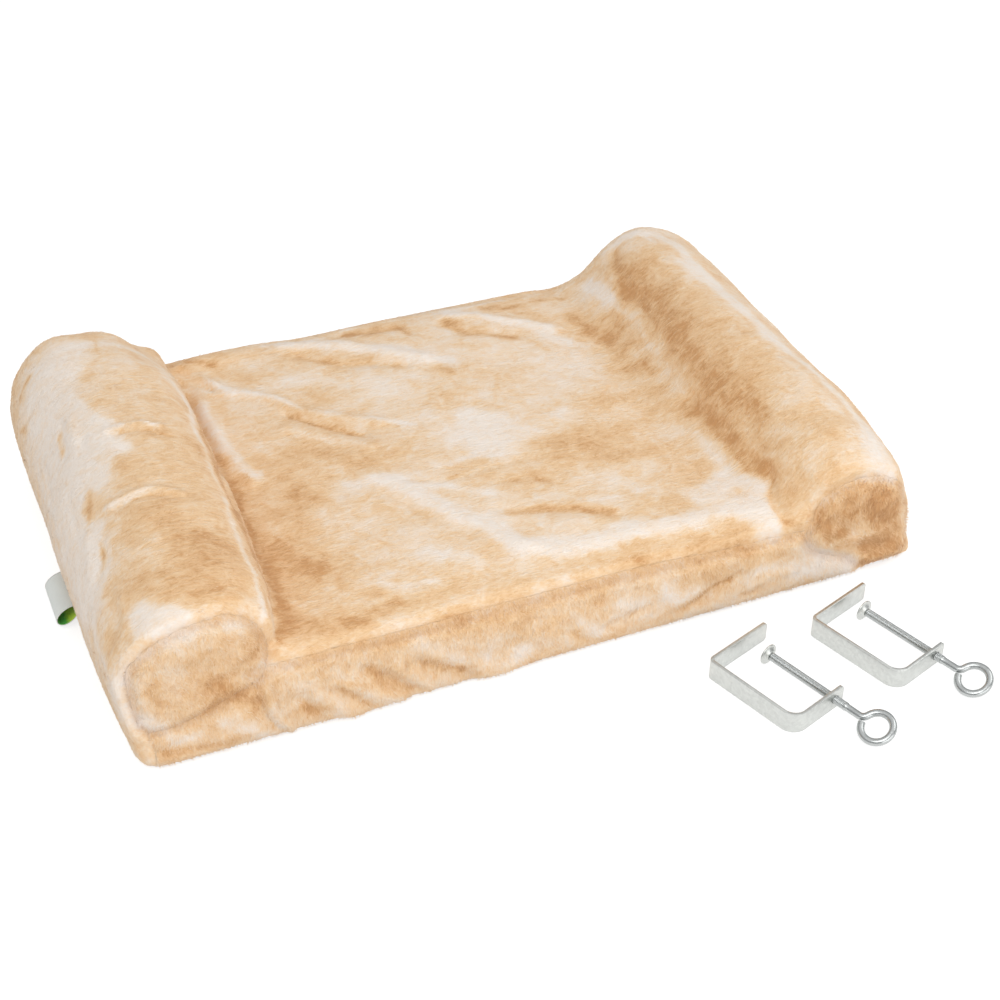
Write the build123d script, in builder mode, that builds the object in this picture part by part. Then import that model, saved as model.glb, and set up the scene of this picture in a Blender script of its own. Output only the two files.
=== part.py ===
from build123d import *
import os
from math import atan2, cos, pi, radians, sin, sqrt

# Window perch for a cat, with its two sill clamps lying loose in front of it.
# Millimetres. X runs along the window, -Y is the front, Z is up.
# The origin is the centre of the lounger's underside.

# Driving sizes of the lounger
length = 550.0
depth = 340.0
mattress_height = 60.0
mattress_crown = 6.0
bolster_height = 115.0
right_bolster_height = 106.0
bolster_width = 114.0
bolster_bulge = 11.0
right_bolster_bulge = 4.0
foot_inset = 3.0
skin = 3.0
soft_gap = 0.3
floor_lift = 0.4
overrun = 5.0

# Base board and bottom panel
board_thickness = 9.0
board_margin = 13.0
board_corner = 12.0
board_edge = 0.8
panel_thickness = 2.0
slot_length = 18.0
slot_width = 8.0
slot_spacing = 300.0
slot_y = -45.0
binding_width = 5.0

# Foam
foam_margin = 7.0
foam_corner = 8.0
foam_round = 12.0
foam_end_gap = 4.8
foam_crown = 6.0
foam_drop = 6.0
ledge_width = 95.0
ledge_height = 34.0
round_limit_share = 0.6
bolster_foam_gap = 1.0

# Sewn end caps and bands
cap_foot = 33.0
cap_width = 79.0
back_cap_width = 89.0
cap_corner = 20.0
corner_side_share = 1.2
corner_across_share = 0.72
corner_up_share = 0.42
low_cap_width = 92.0
low_cap_top = 42.0
low_cap_reach = 49.0
seam_gap = 0.3

# Zip in the back band
zip_gap = 10.0
zip_height = 30.0
zip_margin = 95.0
zip_ends = 5.0
tape_width = 11.0
tape_thickness = 1.0
tooth_pitch = 3.0
tooth_width = 1.3
tooth_reach = 3.4
tooth_depth = 2.2
bead_width = 1.2
slider_length = 11.0
slider_width = 9.0
slider_plate = 1.2
slider_clearance = 0.3
bridge_length = 6.0
bridge_width = 2.6
bridge_rise = 2.4
bridge_thickness = 0.9
pull_length = 26.0
pull_width = 7.0
pull_thickness = 1.0
pull_hole = 2.0
pull_side_gap = 0.3
tab_length_share = 0.62
tab_drop_share = 0.68

# Label loop on the left side
label_length = 37.0
label_y = -3.5
label_root_height = 19.0
label_reach = 13.0
label_droop = 10.0
label_depth = 9.0
label_sheet = 0.8

# Sill clamps
strip_width = 15.0
strip_thickness = 2.5
jaw_outer = 75.0
upper_leg = 55.5
lower_leg = 47.0
upper_bend = 4.5
lower_bend = 11.0
strip_corner = 2.5
screw_place = 39.5
screw_radius = 2.95
thread_clearance = 0.05
wire_radius = 2.6
eye_radius = 10.6
neck_radius = 5.0
eye_centre_from_disc = 91.0
thread_length = 66.0
thread_run_out = 1.5
tip_radius = 2.0
tip_clearance = 0.06
rivet_radius = 3.2
rivet_height = 0.8
rivet_crown_share = 0.6
dish_mouth_share = 1.2
dish_back_share = 1.35
disc_radius = 7.3
disc_thickness = 1.2
disc_dish = 2.2
disc_flat = 1.6
disc_slack = 0.15
eye_tilt = 25.0
eye_open_angle = 22.5
clamp_angle = 19.6
clamp_a_x = 84.3
clamp_a_front = 53.3
clamp_a_disc = 17.5
clamp_b_x = 166.4
clamp_b_front = 42.9
clamp_b_disc = 14.0

os.makedirs("parts", exist_ok=True)

# The cover's outline at one station along Y.
# Each point of a bolster is a share of its width, measured in from its widest place,
# and a share of its height. Each has the outward direction there, for the skin's thickness,
# and how much of the draw-in of the sewn ends it takes.
outline_names = ("wall", "bulge", "shoulder", "crest", "inner", "side", "crease", "foot")
crest_index = outline_names.index("crest")
side_index = outline_names.index("side")
left_across_share = (0.035, 0.0, 0.14, 0.50, 0.84, 1.0, 0.985, 0.945)
left_up_share = (0.26, 0.55, 0.88, 1.0, 0.92, 0.70, 0.40, 0.0)
left_out_x_share = (1.0, 1.0, 0.72, 0.0, -0.62, -0.98, -1.0, -1.0)
left_out_z_share = (0.0, 0.0, 0.70, 1.0, 0.78, 0.2, 0.15, 1.0)
right_across_share = (0.02, 0.0, 0.22, 0.535, 0.728, 0.912, 1.044, 1.237)
right_up_share = (0.24, 0.46, 0.835, 1.0, 0.955, 0.80, 0.36, 0.0)
right_out_x_share = (1.0, 1.0, 0.67, 0.0, -0.4, -0.79, -0.5, 0.0)
right_out_z_share = (0.0, 0.0, 0.74, 1.0, 0.92, 0.61, 0.87, 1.0)
draw_share = (0.4, 1.0, 1.0, 1.0, 1.0, 1.0, 1.0, 0.6)
foot_draw_share = draw_share[-1]

# Stations along the depth: place, left and right crest, mattress crown, draw-in
station_y_share = (-1.0, -0.955, -0.80, -0.15, 0.72, 0.955, 1.0)
left_crest_share = (0.975, 0.99, 1.0, 1.0, 1.0, 0.985, 0.95)
right_crest_share = (0.83, 0.90, 0.97, 1.0, 0.99, 0.965, 0.93)
left_reach_share = (0.60, 0.72, 0.94, 1.0, 1.0, 0.95, 0.82)
right_reach_share = (0.55, 0.70, 0.92, 1.0, 1.0, 0.95, 0.84)
crown_share = (0.7, 0.85, 1.0, 1.1, 1.0, 0.85, 0.7)
station_draw_share = (1.0, 0.35, 0.0, 0.0, 0.0, 0.35, 1.0)
draw_in = 3.0
end_band = 2.0


def bolster_points(side, station, inset):
    """Named points of one bolster's outline at a station, moved in by its draw and the inset."""
    across = left_across_share if side < 0 else right_across_share
    up = left_up_share if side < 0 else right_up_share
    out_x = left_out_x_share if side < 0 else right_out_x_share
    out_z = left_out_z_share if side < 0 else right_out_z_share
    crest = left_crest_share[station] if side < 0 else right_crest_share[station]
    reach = left_reach_share[station] if side < 0 else right_reach_share[station]
    height = (bolster_height if side < 0 else right_bolster_height) * crest
    widest = length / 2 + (bolster_bulge if side < 0 else right_bolster_bulge)
    points = {}
    for index, name in enumerate(outline_names):
        share = across[index]
        if share > across[crest_index]:
            share = across[crest_index] + (share - across[crest_index]) * reach
        x = widest - share * bolster_width
        z = up[index] * height
        if index > side_index:
            z = mattress_height + up[index] * (up[side_index] * height - mattress_height)
        shift = inset + draw_in * station_draw_share[station] * draw_share[index]
        points[name] = (side * (x - out_x[index] * shift), z - out_z[index] * shift)
    return points


def mattress_top(station, inset):
    """Height of the lying area's middle at a station."""
    draw = draw_in * station_draw_share[station] * foot_draw_share
    return mattress_height + mattress_crown * crown_share[station] - inset - draw


def draw_cover(station, inset, low):
    """Lines and arcs of the cover's outline, for use inside a sketch's line block."""
    left = bolster_points(-1, station, inset)
    right = bolster_points(1, station, inset)
    hem = length / 2 - foot_inset - inset
    for points, side in ((left, -1), (right, 1)):
        ThreePointArc((side * hem, low), points["wall"], points["bulge"])
        ThreePointArc(points["bulge"], points["shoulder"], points["crest"])
        ThreePointArc(points["crest"], points["inner"], points["side"])
        ThreePointArc(points["side"], points["crease"], points["foot"])
    ThreePointArc(left["foot"], (0, mattress_top(station, inset)), right["foot"])
    Line((-hem, low), (hem, low))


cover_half = depth / 2 - end_band
stations = range(len(station_y_share))

# Cover: one plush panel over the lying area, both bolsters and the outer sides
with BuildPart() as cover_inside:
    for station in stations:
        with BuildSketch(Plane.XZ.offset(-cover_half * station_y_share[station])):
            with BuildLine():
                draw_cover(station, skin, -overrun)
            make_face()
    loft(ruled=True)

with BuildPart() as cover_top_panel:
    for station in stations:
        with BuildSketch(Plane.XZ.offset(-cover_half * station_y_share[station])):
            with BuildLine():
                draw_cover(station, 0, floor_lift)
            make_face()
    loft(ruled=True)
    add(cover_inside.part, mode=Mode.SUBTRACT)
cover_top_panel.part.label = "cover_top_panel"
export_step(cover_top_panel.part, "parts/cover_top_panel.step")

# Outlines of the sewn end caps, as lines for a sketch on the front or back plane.
# The gap draws the outline in along its seam with the band.
far_out = length
far_up = bolster_height + bolster_bulge
cap_inner_x = length / 2 - cap_width
back_cap_inner_x = length / 2 - back_cap_width
low_cap_x = length / 2 - low_cap_width


def draw_high_cap(side, inner_x, gap):
    """The cap of a bolster that sits level: a flat foot, a rounded lower inner corner."""
    inner = inner_x + gap
    foot = cap_foot + gap
    turn = inner + 2 * cap_corner
    straight = foot + cap_corner * corner_side_share
    Line((side * far_out, foot), (side * turn, foot))
    ThreePointArc((side * turn, foot),
                  (side * (inner + cap_corner * corner_across_share), foot + cap_corner * corner_up_share),
                  (side * inner, straight))
    Line((side * inner, straight), (side * inner, far_up))
    Line((side * inner, far_up), (side * far_out, far_up))
    Line((side * far_out, far_up), (side * far_out, foot))


def draw_low_cap(side, inner_x, gap):
    """The cap that has slid down: its lower edge slants to the floor."""
    inner = inner_x + gap
    Line((side * inner, far_up), (side * inner, low_cap_top))
    Line((side * inner, low_cap_top), (side * (inner + low_cap_reach), -overrun))
    Line((side * (inner + low_cap_reach), -overrun), (side * far_out, -overrun))
    Line((side * far_out, -overrun), (side * far_out, far_up))
    Line((side * far_out, far_up), (side * inner, far_up))


front_plane = Plane.XZ.offset(depth / 2 - skin)
back_plane = Plane.XZ.offset(-depth / 2)
front_station = 0
back_station = len(station_y_share) - 1
cap_plans = {
    "end_cap_front_left": (front_plane, front_station, draw_high_cap, -1, cap_inner_x),
    "end_cap_front_right": (front_plane, front_station, draw_low_cap, 1, low_cap_x),
    "end_cap_back_left": (back_plane, back_station, draw_high_cap, -1, back_cap_inner_x),
    "end_cap_back_right": (back_plane, back_station, draw_high_cap, 1, back_cap_inner_x),
}
for name, (plane, station, draw_cap, side, inner_x) in cap_plans.items():
    with BuildPart() as end_cap:
        with BuildSketch(plane):
            with BuildLine():
                draw_cover(station, skin + seam_gap, floor_lift)
            make_face()
            with BuildLine():
                draw_cap(side, inner_x, seam_gap)
            make_face(mode=Mode.INTERSECT)
        extrude(amount=skin)
    end_cap.part.label = name
    export_step(end_cap.part, f"parts/{name}.step")

# Front band, cut round both caps
with BuildPart() as cover_front_band:
    with BuildSketch(front_plane):
        with BuildLine():
            draw_cover(front_station, skin + seam_gap, floor_lift)
        make_face()
        with BuildLine():
            draw_high_cap(-1, cap_inner_x, 0)
        make_face(mode=Mode.SUBTRACT)
        with BuildLine():
            draw_low_cap(1, low_cap_x, 0)
        make_face(mode=Mode.SUBTRACT)
    extrude(amount=skin)
cover_front_band.part.label = "cover_front_band"
export_step(cover_front_band.part, "parts/cover_front_band.step")

# Back band in two strips, with the zip between them
zip_half_length = length / 2 - zip_margin
zip_low = zip_height - zip_gap / 2
zip_high = zip_height + zip_gap / 2
with BuildPart() as cover_back_band_upper:
    with BuildSketch(back_plane):
        with BuildLine():
            draw_cover(back_station, skin + seam_gap, floor_lift)
        make_face()
        for side in (-1, 1):
            with BuildLine():
                draw_high_cap(side, back_cap_inner_x, 0)
            make_face(mode=Mode.SUBTRACT)
        with Locations((0, zip_high - far_up / 2)):
            Rectangle(2 * far_out, far_up, mode=Mode.SUBTRACT)
    extrude(amount=skin)
cover_back_band_upper.part.label = "cover_back_band_upper"
export_step(cover_back_band_upper.part, "parts/cover_back_band_upper.step")

with BuildPart() as cover_back_band_lower:
    with BuildSketch(back_plane):
        with BuildLine():
            draw_cover(back_station, skin + seam_gap, floor_lift)
        make_face()
        for side in (-1, 1):
            with BuildLine():
                draw_high_cap(side, back_cap_inner_x, 0)
            make_face(mode=Mode.SUBTRACT)
        with Locations((0, zip_low + far_up / 2)):
            Rectangle(2 * zip_half_length, far_up, mode=Mode.SUBTRACT)
        with Locations((0, zip_high - seam_gap + far_up / 2)):
            Rectangle(2 * far_out, far_up, mode=Mode.SUBTRACT)
    extrude(amount=skin)
cover_back_band_lower.part.label = "cover_back_band_lower"
export_step(cover_back_band_lower.part, "parts/cover_back_band_lower.step")

# Bottom panel and the bound slits for the clamp strips
hem_inside = length / 2 - foot_inset - skin
panel_half_x = hem_inside - seam_gap
panel_half_y = depth / 2 - skin - seam_gap
slot_places = [(-slot_spacing / 2, slot_y), (slot_spacing / 2, slot_y)]
with BuildPart() as bottom_panel:
    with BuildSketch():
        Rectangle(2 * panel_half_x, 2 * panel_half_y)
        with Locations(slot_places):
            RectangleRounded(slot_length + 2 * binding_width, slot_width + 2 * binding_width,
                             binding_width, mode=Mode.SUBTRACT)
    extrude(amount=panel_thickness)
bottom_panel.part.label = "bottom_panel"
export_step(bottom_panel.part, "parts/bottom_panel.step")

with BuildPart() as slit_bindings:
    with BuildSketch():
        with Locations(slot_places):
            RectangleRounded(slot_length + 2 * binding_width, slot_width + 2 * binding_width, binding_width)
        with Locations(slot_places):
            Rectangle(slot_length, slot_width, mode=Mode.SUBTRACT)
    extrude(amount=panel_thickness)
slit_bindings.part.label = "slit_bindings"
export_step(slit_bindings.part, "parts/slit_bindings.step")

# Base board
board_top = panel_thickness + board_thickness
with BuildPart() as base_board:
    with BuildSketch(Plane.XY.offset(panel_thickness)):
        RectangleRounded(length - 2 * board_margin, depth - 2 * board_margin, board_corner)
        with Locations(slot_places):
            Rectangle(slot_length, slot_width, mode=Mode.SUBTRACT)
    extrude(amount=board_thickness)
    rims = base_board.faces().filter_by(Axis.Z)
    for rim in rims:
        chamfer(rim.outer_wire().edges(), length=board_edge)
base_board.part.label = "base_board"
export_step(base_board.part, "parts/base_board.step")

# Mattress foam: a slab with a ledge at each end under the bolsters
foam_half_x = length / 2 - foam_margin
foam_half_y = depth / 2 - foam_end_gap
foam_shoulder = mattress_height - foam_drop
ledge_x = length / 2 - ledge_width
with BuildPart() as mattress_foam:
    with BuildSketch(Plane.XZ.offset(-foam_half_y)):
        with BuildLine():
            Polyline((-ledge_x, foam_shoulder), (-ledge_x, ledge_height), (-foam_half_x, ledge_height),
                     (-foam_half_x, board_top), (foam_half_x, board_top), (foam_half_x, ledge_height),
                     (ledge_x, ledge_height), (ledge_x, foam_shoulder))
            ThreePointArc((ledge_x, foam_shoulder), (0, foam_shoulder + foam_crown), (-ledge_x, foam_shoulder))
        make_face()
    extrude(amount=2 * foam_half_y)
    corners = mattress_foam.edges().filter_by(Axis.Z).group_by(SortBy.LENGTH)[-1]
    fillet(corners, radius=foam_corner)
    crown_ends = mattress_foam.edges().filter_by(GeomType.CIRCLE).group_by(SortBy.RADIUS)[-1]
    fillet(crown_ends, radius=min(foam_round, (foam_shoulder - ledge_height) * round_limit_share))
mattress_foam.part.label = "mattress_foam"
export_step(mattress_foam.part, "parts/mattress_foam.step")

# Bolster foams, lofted to the same stations as the cover over them
for name, side in (("bolster_foam_left", -1), ("bolster_foam_right", 1)):
    with BuildPart() as bolster_foam:
        for station in stations:
            points = bolster_points(side, station, skin + bolster_foam_gap)
            low_inner = (side * ledge_x, ledge_height)
            high_inner = (side * ledge_x, foam_shoulder)
            tuck = (points["foot"][0], foam_shoulder)
            inner_line = [points["side"], tuck, high_inner] if side < 0 else [points["side"], high_inner]
            with BuildSketch(Plane.XZ.offset(-foam_half_y * station_y_share[station])):
                with BuildLine():
                    Polyline(*inner_line, low_inner, (points["wall"][0], ledge_height), points["bulge"])
                    ThreePointArc(points["bulge"], points["shoulder"], points["crest"])
                    ThreePointArc(points["crest"], points["inner"], points["side"])
                make_face()
        loft(ruled=True)
    bolster_foam.part.label = name
    export_step(bolster_foam.part, f"parts/{name}.step")

# Zip in the back band: two tapes behind the band's edges, two rows of teeth on them
tape_face = depth / 2 - skin
for name, side in (("zip_tape_upper", 1), ("zip_tape_lower", -1)):
    with BuildPart() as zip_tape:
        with BuildSketch(Plane.XZ.offset(-tape_face)):
            with Locations((0, zip_height + side * (tape_width + seam_gap) / 2)):
                Rectangle(2 * zip_half_length, tape_width)
        extrude(amount=tape_thickness)
    zip_tape.part.label = name
    export_step(zip_tape.part, f"parts/{name}.step")

tooth_count = int(2 * (zip_half_length - zip_ends) / tooth_pitch)
bead_inner = tooth_reach / 2
for name, side in (("zip_teeth_upper", 1), ("zip_teeth_lower", -1)):
    with BuildPart() as zip_teeth:
        with BuildSketch(Plane.XZ.offset(-tape_face)):
            with Locations((0, zip_height + side * (bead_inner + bead_width / 2))):
                Rectangle(tooth_count * tooth_pitch, bead_width)
            with Locations((side * tooth_pitch / 4, zip_height + side * seam_gap / 2)):
                with GridLocations(tooth_pitch, tooth_pitch, tooth_count - 1, 1):
                    Rectangle(tooth_width, tooth_reach - seam_gap)
        extrude(amount=-tooth_depth)
    zip_teeth.part.label = name
    export_step(zip_teeth.part, f"parts/{name}.step")

# Slider, closed over the chain, with the bridge that holds the pull tab
slider_x = tooth_count * tooth_pitch / 2 - slider_length / 2
slider_base = tape_face + tooth_depth + slider_clearance
flange_inner = bead_inner + bead_width + slider_clearance
flange_depth = tooth_depth
slider_top = slider_base + slider_plate
with BuildPart() as zip_slider:
    with BuildSketch(Plane.XZ.offset(-slider_base)):
        with Locations((slider_x, zip_height)):
            RectangleRounded(slider_length, slider_width, slider_width / 3)
    extrude(amount=-slider_plate)
    with BuildSketch(Plane.XZ.offset(-slider_base)):
        for side in (-1, 1):
            with Locations((slider_x, zip_height + side * (flange_inner + slider_width / 2) / 2)):
                Rectangle(slider_length / 2, slider_width / 2 - flange_inner)
    extrude(amount=flange_depth)
    with BuildSketch(Plane.XY.offset(zip_height - bridge_width / 2)):
        with Locations((slider_x, slider_top + bridge_rise / 2)):
            Rectangle(bridge_length, bridge_rise)
        with Locations((slider_x, slider_top + (bridge_rise - bridge_thickness) / 2)):
            Rectangle(bridge_length - 2 * bridge_thickness, bridge_rise - bridge_thickness, mode=Mode.SUBTRACT)
    extrude(amount=bridge_width)
zip_slider.part.label = "zip_slider"
export_step(zip_slider.part, "parts/zip_slider.step")

pull_x = slider_x + (bridge_length - bridge_thickness) / 2
pull_face = slider_top + pull_side_gap
pull_eye = pull_hole + pull_thickness
with BuildPart() as zip_pull:
    with BuildSketch(Plane.XZ.offset(-pull_face)):
        with Locations((pull_x, zip_height)):
            Circle(pull_eye)
        with Locations((pull_x, zip_height - pull_length / 2)):
            Rectangle(pull_eye, pull_length)
        with Locations((pull_x, zip_height - pull_length * tab_drop_share)):
            RectangleRounded(pull_width, pull_length * tab_length_share, pull_width / 3)
        with Locations((pull_x, zip_height)):
            Circle(pull_hole, mode=Mode.SUBTRACT)
    extrude(amount=-pull_thickness)
zip_pull.part.label = "zip_pull"
export_step(zip_pull.part, "parts/zip_pull.step")


def wall_place(height):
    """Place along X of the cover's left wall, at a height above the floor."""
    points = bolster_points(-1, len(station_y_share) // 2, 0)
    (x1, z1), (x2, z2), (x3, z3) = (foot_inset - length / 2, floor_lift), points["wall"], points["bulge"]
    slope_low = (z2 - z1) / (x2 - x1)
    slope_high = (z3 - z2) / (x3 - x2)
    mid_low = ((x1 + x2) / 2, (z1 + z2) / 2)
    mid_high = ((x2 + x3) / 2, (z2 + z3) / 2)
    centre_x = (mid_high[1] - mid_low[1] + mid_high[0] / slope_high - mid_low[0] / slope_low)
    centre_x = centre_x / (1 / slope_high - 1 / slope_low)
    centre_z = mid_low[1] - (centre_x - mid_low[0]) / slope_low
    radius = sqrt((x1 - centre_x) ** 2 + (z1 - centre_z) ** 2)
    return centre_x - sqrt(radius ** 2 - (height - centre_z) ** 2)


# Folded label loop in the left side
label_root_x = wall_place(label_root_height + label_sheet) - soft_gap
label_fold = (label_root_x - label_reach, label_root_height - label_droop)
label_middle = ((label_root_x + label_fold[0]) / 2, (label_root_height + label_fold[1]) / 2)
label_slant = atan2(label_droop, label_reach)
label_half = label_depth / 2
label_across = (-sin(label_slant) * label_half, cos(label_slant) * label_half)
label_above = (label_middle[0] + label_across[0], label_middle[1] + label_across[1])
label_below = (label_middle[0] - label_across[0], label_middle[1] - label_across[1])
with BuildPart() as label_loop:
    with BuildSketch(Plane.XZ.offset(-label_y - label_length / 2)):
        with BuildLine():
            ThreePointArc((label_root_x, label_root_height + label_sheet), label_above, label_fold)
            ThreePointArc(label_fold, label_below, (label_root_x, label_root_height - label_sheet))
            Line((label_root_x, label_root_height - label_sheet), (label_root_x, label_root_height + label_sheet))
        make_face()
        offset(amount=-label_sheet, mode=Mode.SUBTRACT)
    extrude(amount=label_length)
label_loop.part.label = "label_loop"
export_step(label_loop.part, "parts/label_loop.step")

# Sill clamps: a bent strip, an eye screw through its lower leg and a swivelling disc
jaw = radians(clamp_angle)
leg_way = Vector(cos(jaw), sin(jaw), 0)
web_way = Vector(sin(jaw), -cos(jaw), 0)
tilt = radians(eye_tilt)
eye_side = leg_way * cos(tilt) + Vector(0, 0, 1) * sin(tilt)
eye_normal = eye_side.cross(web_way)
disc_back = disc_dish + disc_thickness
shank_start = disc_back + disc_slack
neck_start = eye_centre_from_disc - sqrt(eye_radius ** 2 + 2 * neck_radius * eye_radius)
join = neck_radius + eye_radius
eye_join = (eye_radius * neck_radius / join,
            eye_centre_from_disc - eye_radius * (eye_centre_from_disc - neck_start) / join)
join_angle = atan2(eye_join[0], eye_centre_from_disc - eye_join[1])
neck_turn = pi / 2 - join_angle
neck_middle = (neck_radius * (1 - cos(neck_turn / 2)), neck_start + neck_radius * sin(neck_turn / 2))
bend_plan = {(strip_thickness, -strip_thickness): upper_bend - strip_thickness,
             (strip_thickness, strip_thickness - jaw_outer): lower_bend - strip_thickness,
             (0, 0): upper_bend, (0, -jaw_outer): lower_bend}
open_angle = radians(eye_open_angle)


def eye_point(angle):
    """A point of the ring's centre line, by its angle from the neck, through the side that rises."""
    return (eye_radius * sin(angle), eye_centre_from_disc - eye_radius * cos(angle))


clamp_plans = {"a": (clamp_a_x, clamp_a_front, clamp_a_disc), "b": (clamp_b_x, clamp_b_front, clamp_b_disc)}
for letter, (corner_x, front_gap, disc_at) in clamp_plans.items():
    corner = Vector(corner_x, -depth / 2 - front_gap, 0)
    floor_plane = Plane(origin=corner, x_dir=leg_way, z_dir=(0, 0, 1))
    hole_centre = corner + leg_way * screw_place + web_way * jaw_outer + Vector(0, 0, strip_width / 2)
    disc_centre = hole_centre - web_way * (jaw_outer - disc_at)
    screw_plane = Plane(origin=disc_centre, x_dir=eye_side, z_dir=eye_normal)

    with BuildPart() as clamp_frame:
        with BuildSketch(floor_plane) as strip:
            with BuildLine():
                Polyline((upper_leg, 0), (0, 0), (0, -jaw_outer), (lower_leg, -jaw_outer),
                         (lower_leg, strip_thickness - jaw_outer),
                         (strip_thickness, strip_thickness - jaw_outer),
                         (strip_thickness, -strip_thickness), (upper_leg, -strip_thickness), close=True)
            make_face()
        extrude(amount=strip_width)
        uprights = clamp_frame.edges().filter_by(Axis.Z)
        for place, radius in bend_plan.items():
            bend = floor_plane.from_local_coords((*place, strip_width / 2))
            fillet(uprights.sort_by_distance(bend)[0], radius=radius)
            uprights = clamp_frame.edges().filter_by(Axis.Z)
        for tip_place in ((upper_leg, -strip_thickness / 2), (lower_leg, strip_thickness / 2 - jaw_outer)):
            tip_centre = floor_plane.from_local_coords((*tip_place, strip_width / 2))
            tip = clamp_frame.faces().sort_by_distance(tip_centre)[0]
            fillet(tip.edges().group_by(SortBy.LENGTH)[0], radius=strip_corner)
        with BuildSketch(Plane(origin=hole_centre, x_dir=leg_way, z_dir=web_way)):
            Circle(screw_radius + thread_clearance)
        extrude(amount=-2 * strip_thickness, mode=Mode.SUBTRACT)
    clamp_frame.part.label = f"clamp_frame_{letter}"
    export_step(clamp_frame.part, f"parts/clamp_frame_{letter}.step")

    with BuildPart() as eye_screw:
        with BuildSketch(screw_plane):
            with BuildLine():
                Polyline((0, disc_dish - disc_slack - rivet_height),
                         (rivet_radius * rivet_crown_share, disc_dish - disc_slack - rivet_height),
                         (rivet_radius, disc_dish - disc_slack - rivet_height / 2),
                         (rivet_radius, disc_dish - disc_slack), (tip_radius, disc_dish - disc_slack),
                         (tip_radius, shank_start), (screw_radius, shank_start),
                         (screw_radius, thread_length), (wire_radius, thread_length + thread_run_out),
                         (wire_radius, neck_start), (0, neck_start), close=True)
            make_face()
        revolve(axis=Axis(disc_centre, web_way))
        with BuildLine(screw_plane) as eye_path:
            ThreePointArc((0, neck_start), neck_middle, eye_join)
            ThreePointArc(eye_join, eye_point((pi / 2 + join_angle) / 2), eye_point(pi / 2))
            ThreePointArc(eye_point(pi / 2), eye_point(pi), eye_point(3 * pi / 2))
            ThreePointArc(eye_point(3 * pi / 2), eye_point((7 * pi / 2 - open_angle) / 2),
                          eye_point(2 * pi - open_angle))
        with BuildSketch(Plane(origin=disc_centre + web_way * neck_start, x_dir=eye_side, z_dir=web_way)):
            Circle(wire_radius)
        sweep(path=eye_path.line)
    eye_screw.part.label = f"eye_screw_{letter}"
    export_step(eye_screw.part, f"parts/eye_screw_{letter}.step")

    with BuildPart() as pressure_disc:
        with BuildSketch(screw_plane):
            with BuildLine():
                Polyline((disc_radius, 0), (disc_radius - disc_flat, 0), (rivet_radius * dish_mouth_share, disc_dish),
                         (tip_radius + tip_clearance, disc_dish), (tip_radius + tip_clearance, disc_back),
                         (rivet_radius * dish_back_share, disc_back), (disc_radius - disc_flat / 2, disc_thickness),
                         (disc_radius, disc_thickness), close=True)
            make_face()
        revolve(axis=Axis(disc_centre, web_way))
    pressure_disc.part.label = f"pressure_disc_{letter}"
    export_step(pressure_disc.part, f"parts/pressure_disc_{letter}.step")
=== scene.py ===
import math

import bmesh
import bpy
import numpy as np
from mathutils import Matrix, Vector
from mathutils.bvhtree import BVHTree
from mathutils.kdtree import KDTree

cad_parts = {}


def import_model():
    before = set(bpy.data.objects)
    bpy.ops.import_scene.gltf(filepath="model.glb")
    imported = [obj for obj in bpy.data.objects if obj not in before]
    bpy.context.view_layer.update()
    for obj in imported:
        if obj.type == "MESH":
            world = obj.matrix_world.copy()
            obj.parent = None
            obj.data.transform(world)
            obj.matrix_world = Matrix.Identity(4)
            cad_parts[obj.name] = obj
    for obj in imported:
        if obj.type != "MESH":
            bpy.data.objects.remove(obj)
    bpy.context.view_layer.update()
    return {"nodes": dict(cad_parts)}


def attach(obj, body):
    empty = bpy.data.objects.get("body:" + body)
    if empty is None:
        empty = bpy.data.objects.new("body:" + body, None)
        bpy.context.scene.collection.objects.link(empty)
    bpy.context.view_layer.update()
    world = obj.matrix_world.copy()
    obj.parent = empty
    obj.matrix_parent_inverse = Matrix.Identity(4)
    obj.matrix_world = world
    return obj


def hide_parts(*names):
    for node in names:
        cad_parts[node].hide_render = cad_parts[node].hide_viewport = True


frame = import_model()
nodes = frame["nodes"]
scene = bpy.context.scene
MM = 0.001

# The camera, fitted to the photograph
# Angles, the distance in metres, and the rest in points of a picture that is 1000 points wide.

AZIMUTH, ELEVATION, ROLL = math.radians(-22.9), math.radians(38.22), math.radians(0.5)
DISTANCE = 1.3501
PICTURE, FOCAL, MIDDLE_X, MIDDLE_Y = 1000, 1862.88, 459.46, 508.74
SENSOR = 36

backward = Vector((math.sin(AZIMUTH) * math.cos(ELEVATION), -math.cos(AZIMUTH) * math.cos(ELEVATION),
                   math.sin(ELEVATION)))
level = (-backward).cross(Vector((0, 0, 1))).normalized()
upright = level.cross(-backward)
rightward = level * math.cos(ROLL) + upright * math.sin(ROLL)
upward = upright * math.cos(ROLL) - level * math.sin(ROLL)
camera_turn = Matrix((rightward, upward, backward)).transposed()
off_middle = rightward * (MIDDLE_X - PICTURE / 2) - upward * (MIDDLE_Y - PICTURE / 2)
camera_place = backward * DISTANCE - off_middle * (DISTANCE / FOCAL)

# Helpers


HASH_X, HASH_Y, HASH_Z, HASH_SEED, HASH_MIX = 374761393, 668265263, 2147483647, 974634777, 1274126177
WORD, LOW_BITS = 0xFFFFFFFF, 0xFFFFFF


def lattice(ix, iy, iz, seed):
    """Repeatable values from 0 to 1 at whole-number places."""
    h = (ix.astype(np.int64) * HASH_X + iy.astype(np.int64) * HASH_Y
         + iz.astype(np.int64) * HASH_Z + seed * HASH_SEED) & WORD
    h = ((h ^ (h >> 13)) * HASH_MIX) & WORD
    h = h ^ (h >> 16)
    return (h & LOW_BITS) / float(LOW_BITS)


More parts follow.
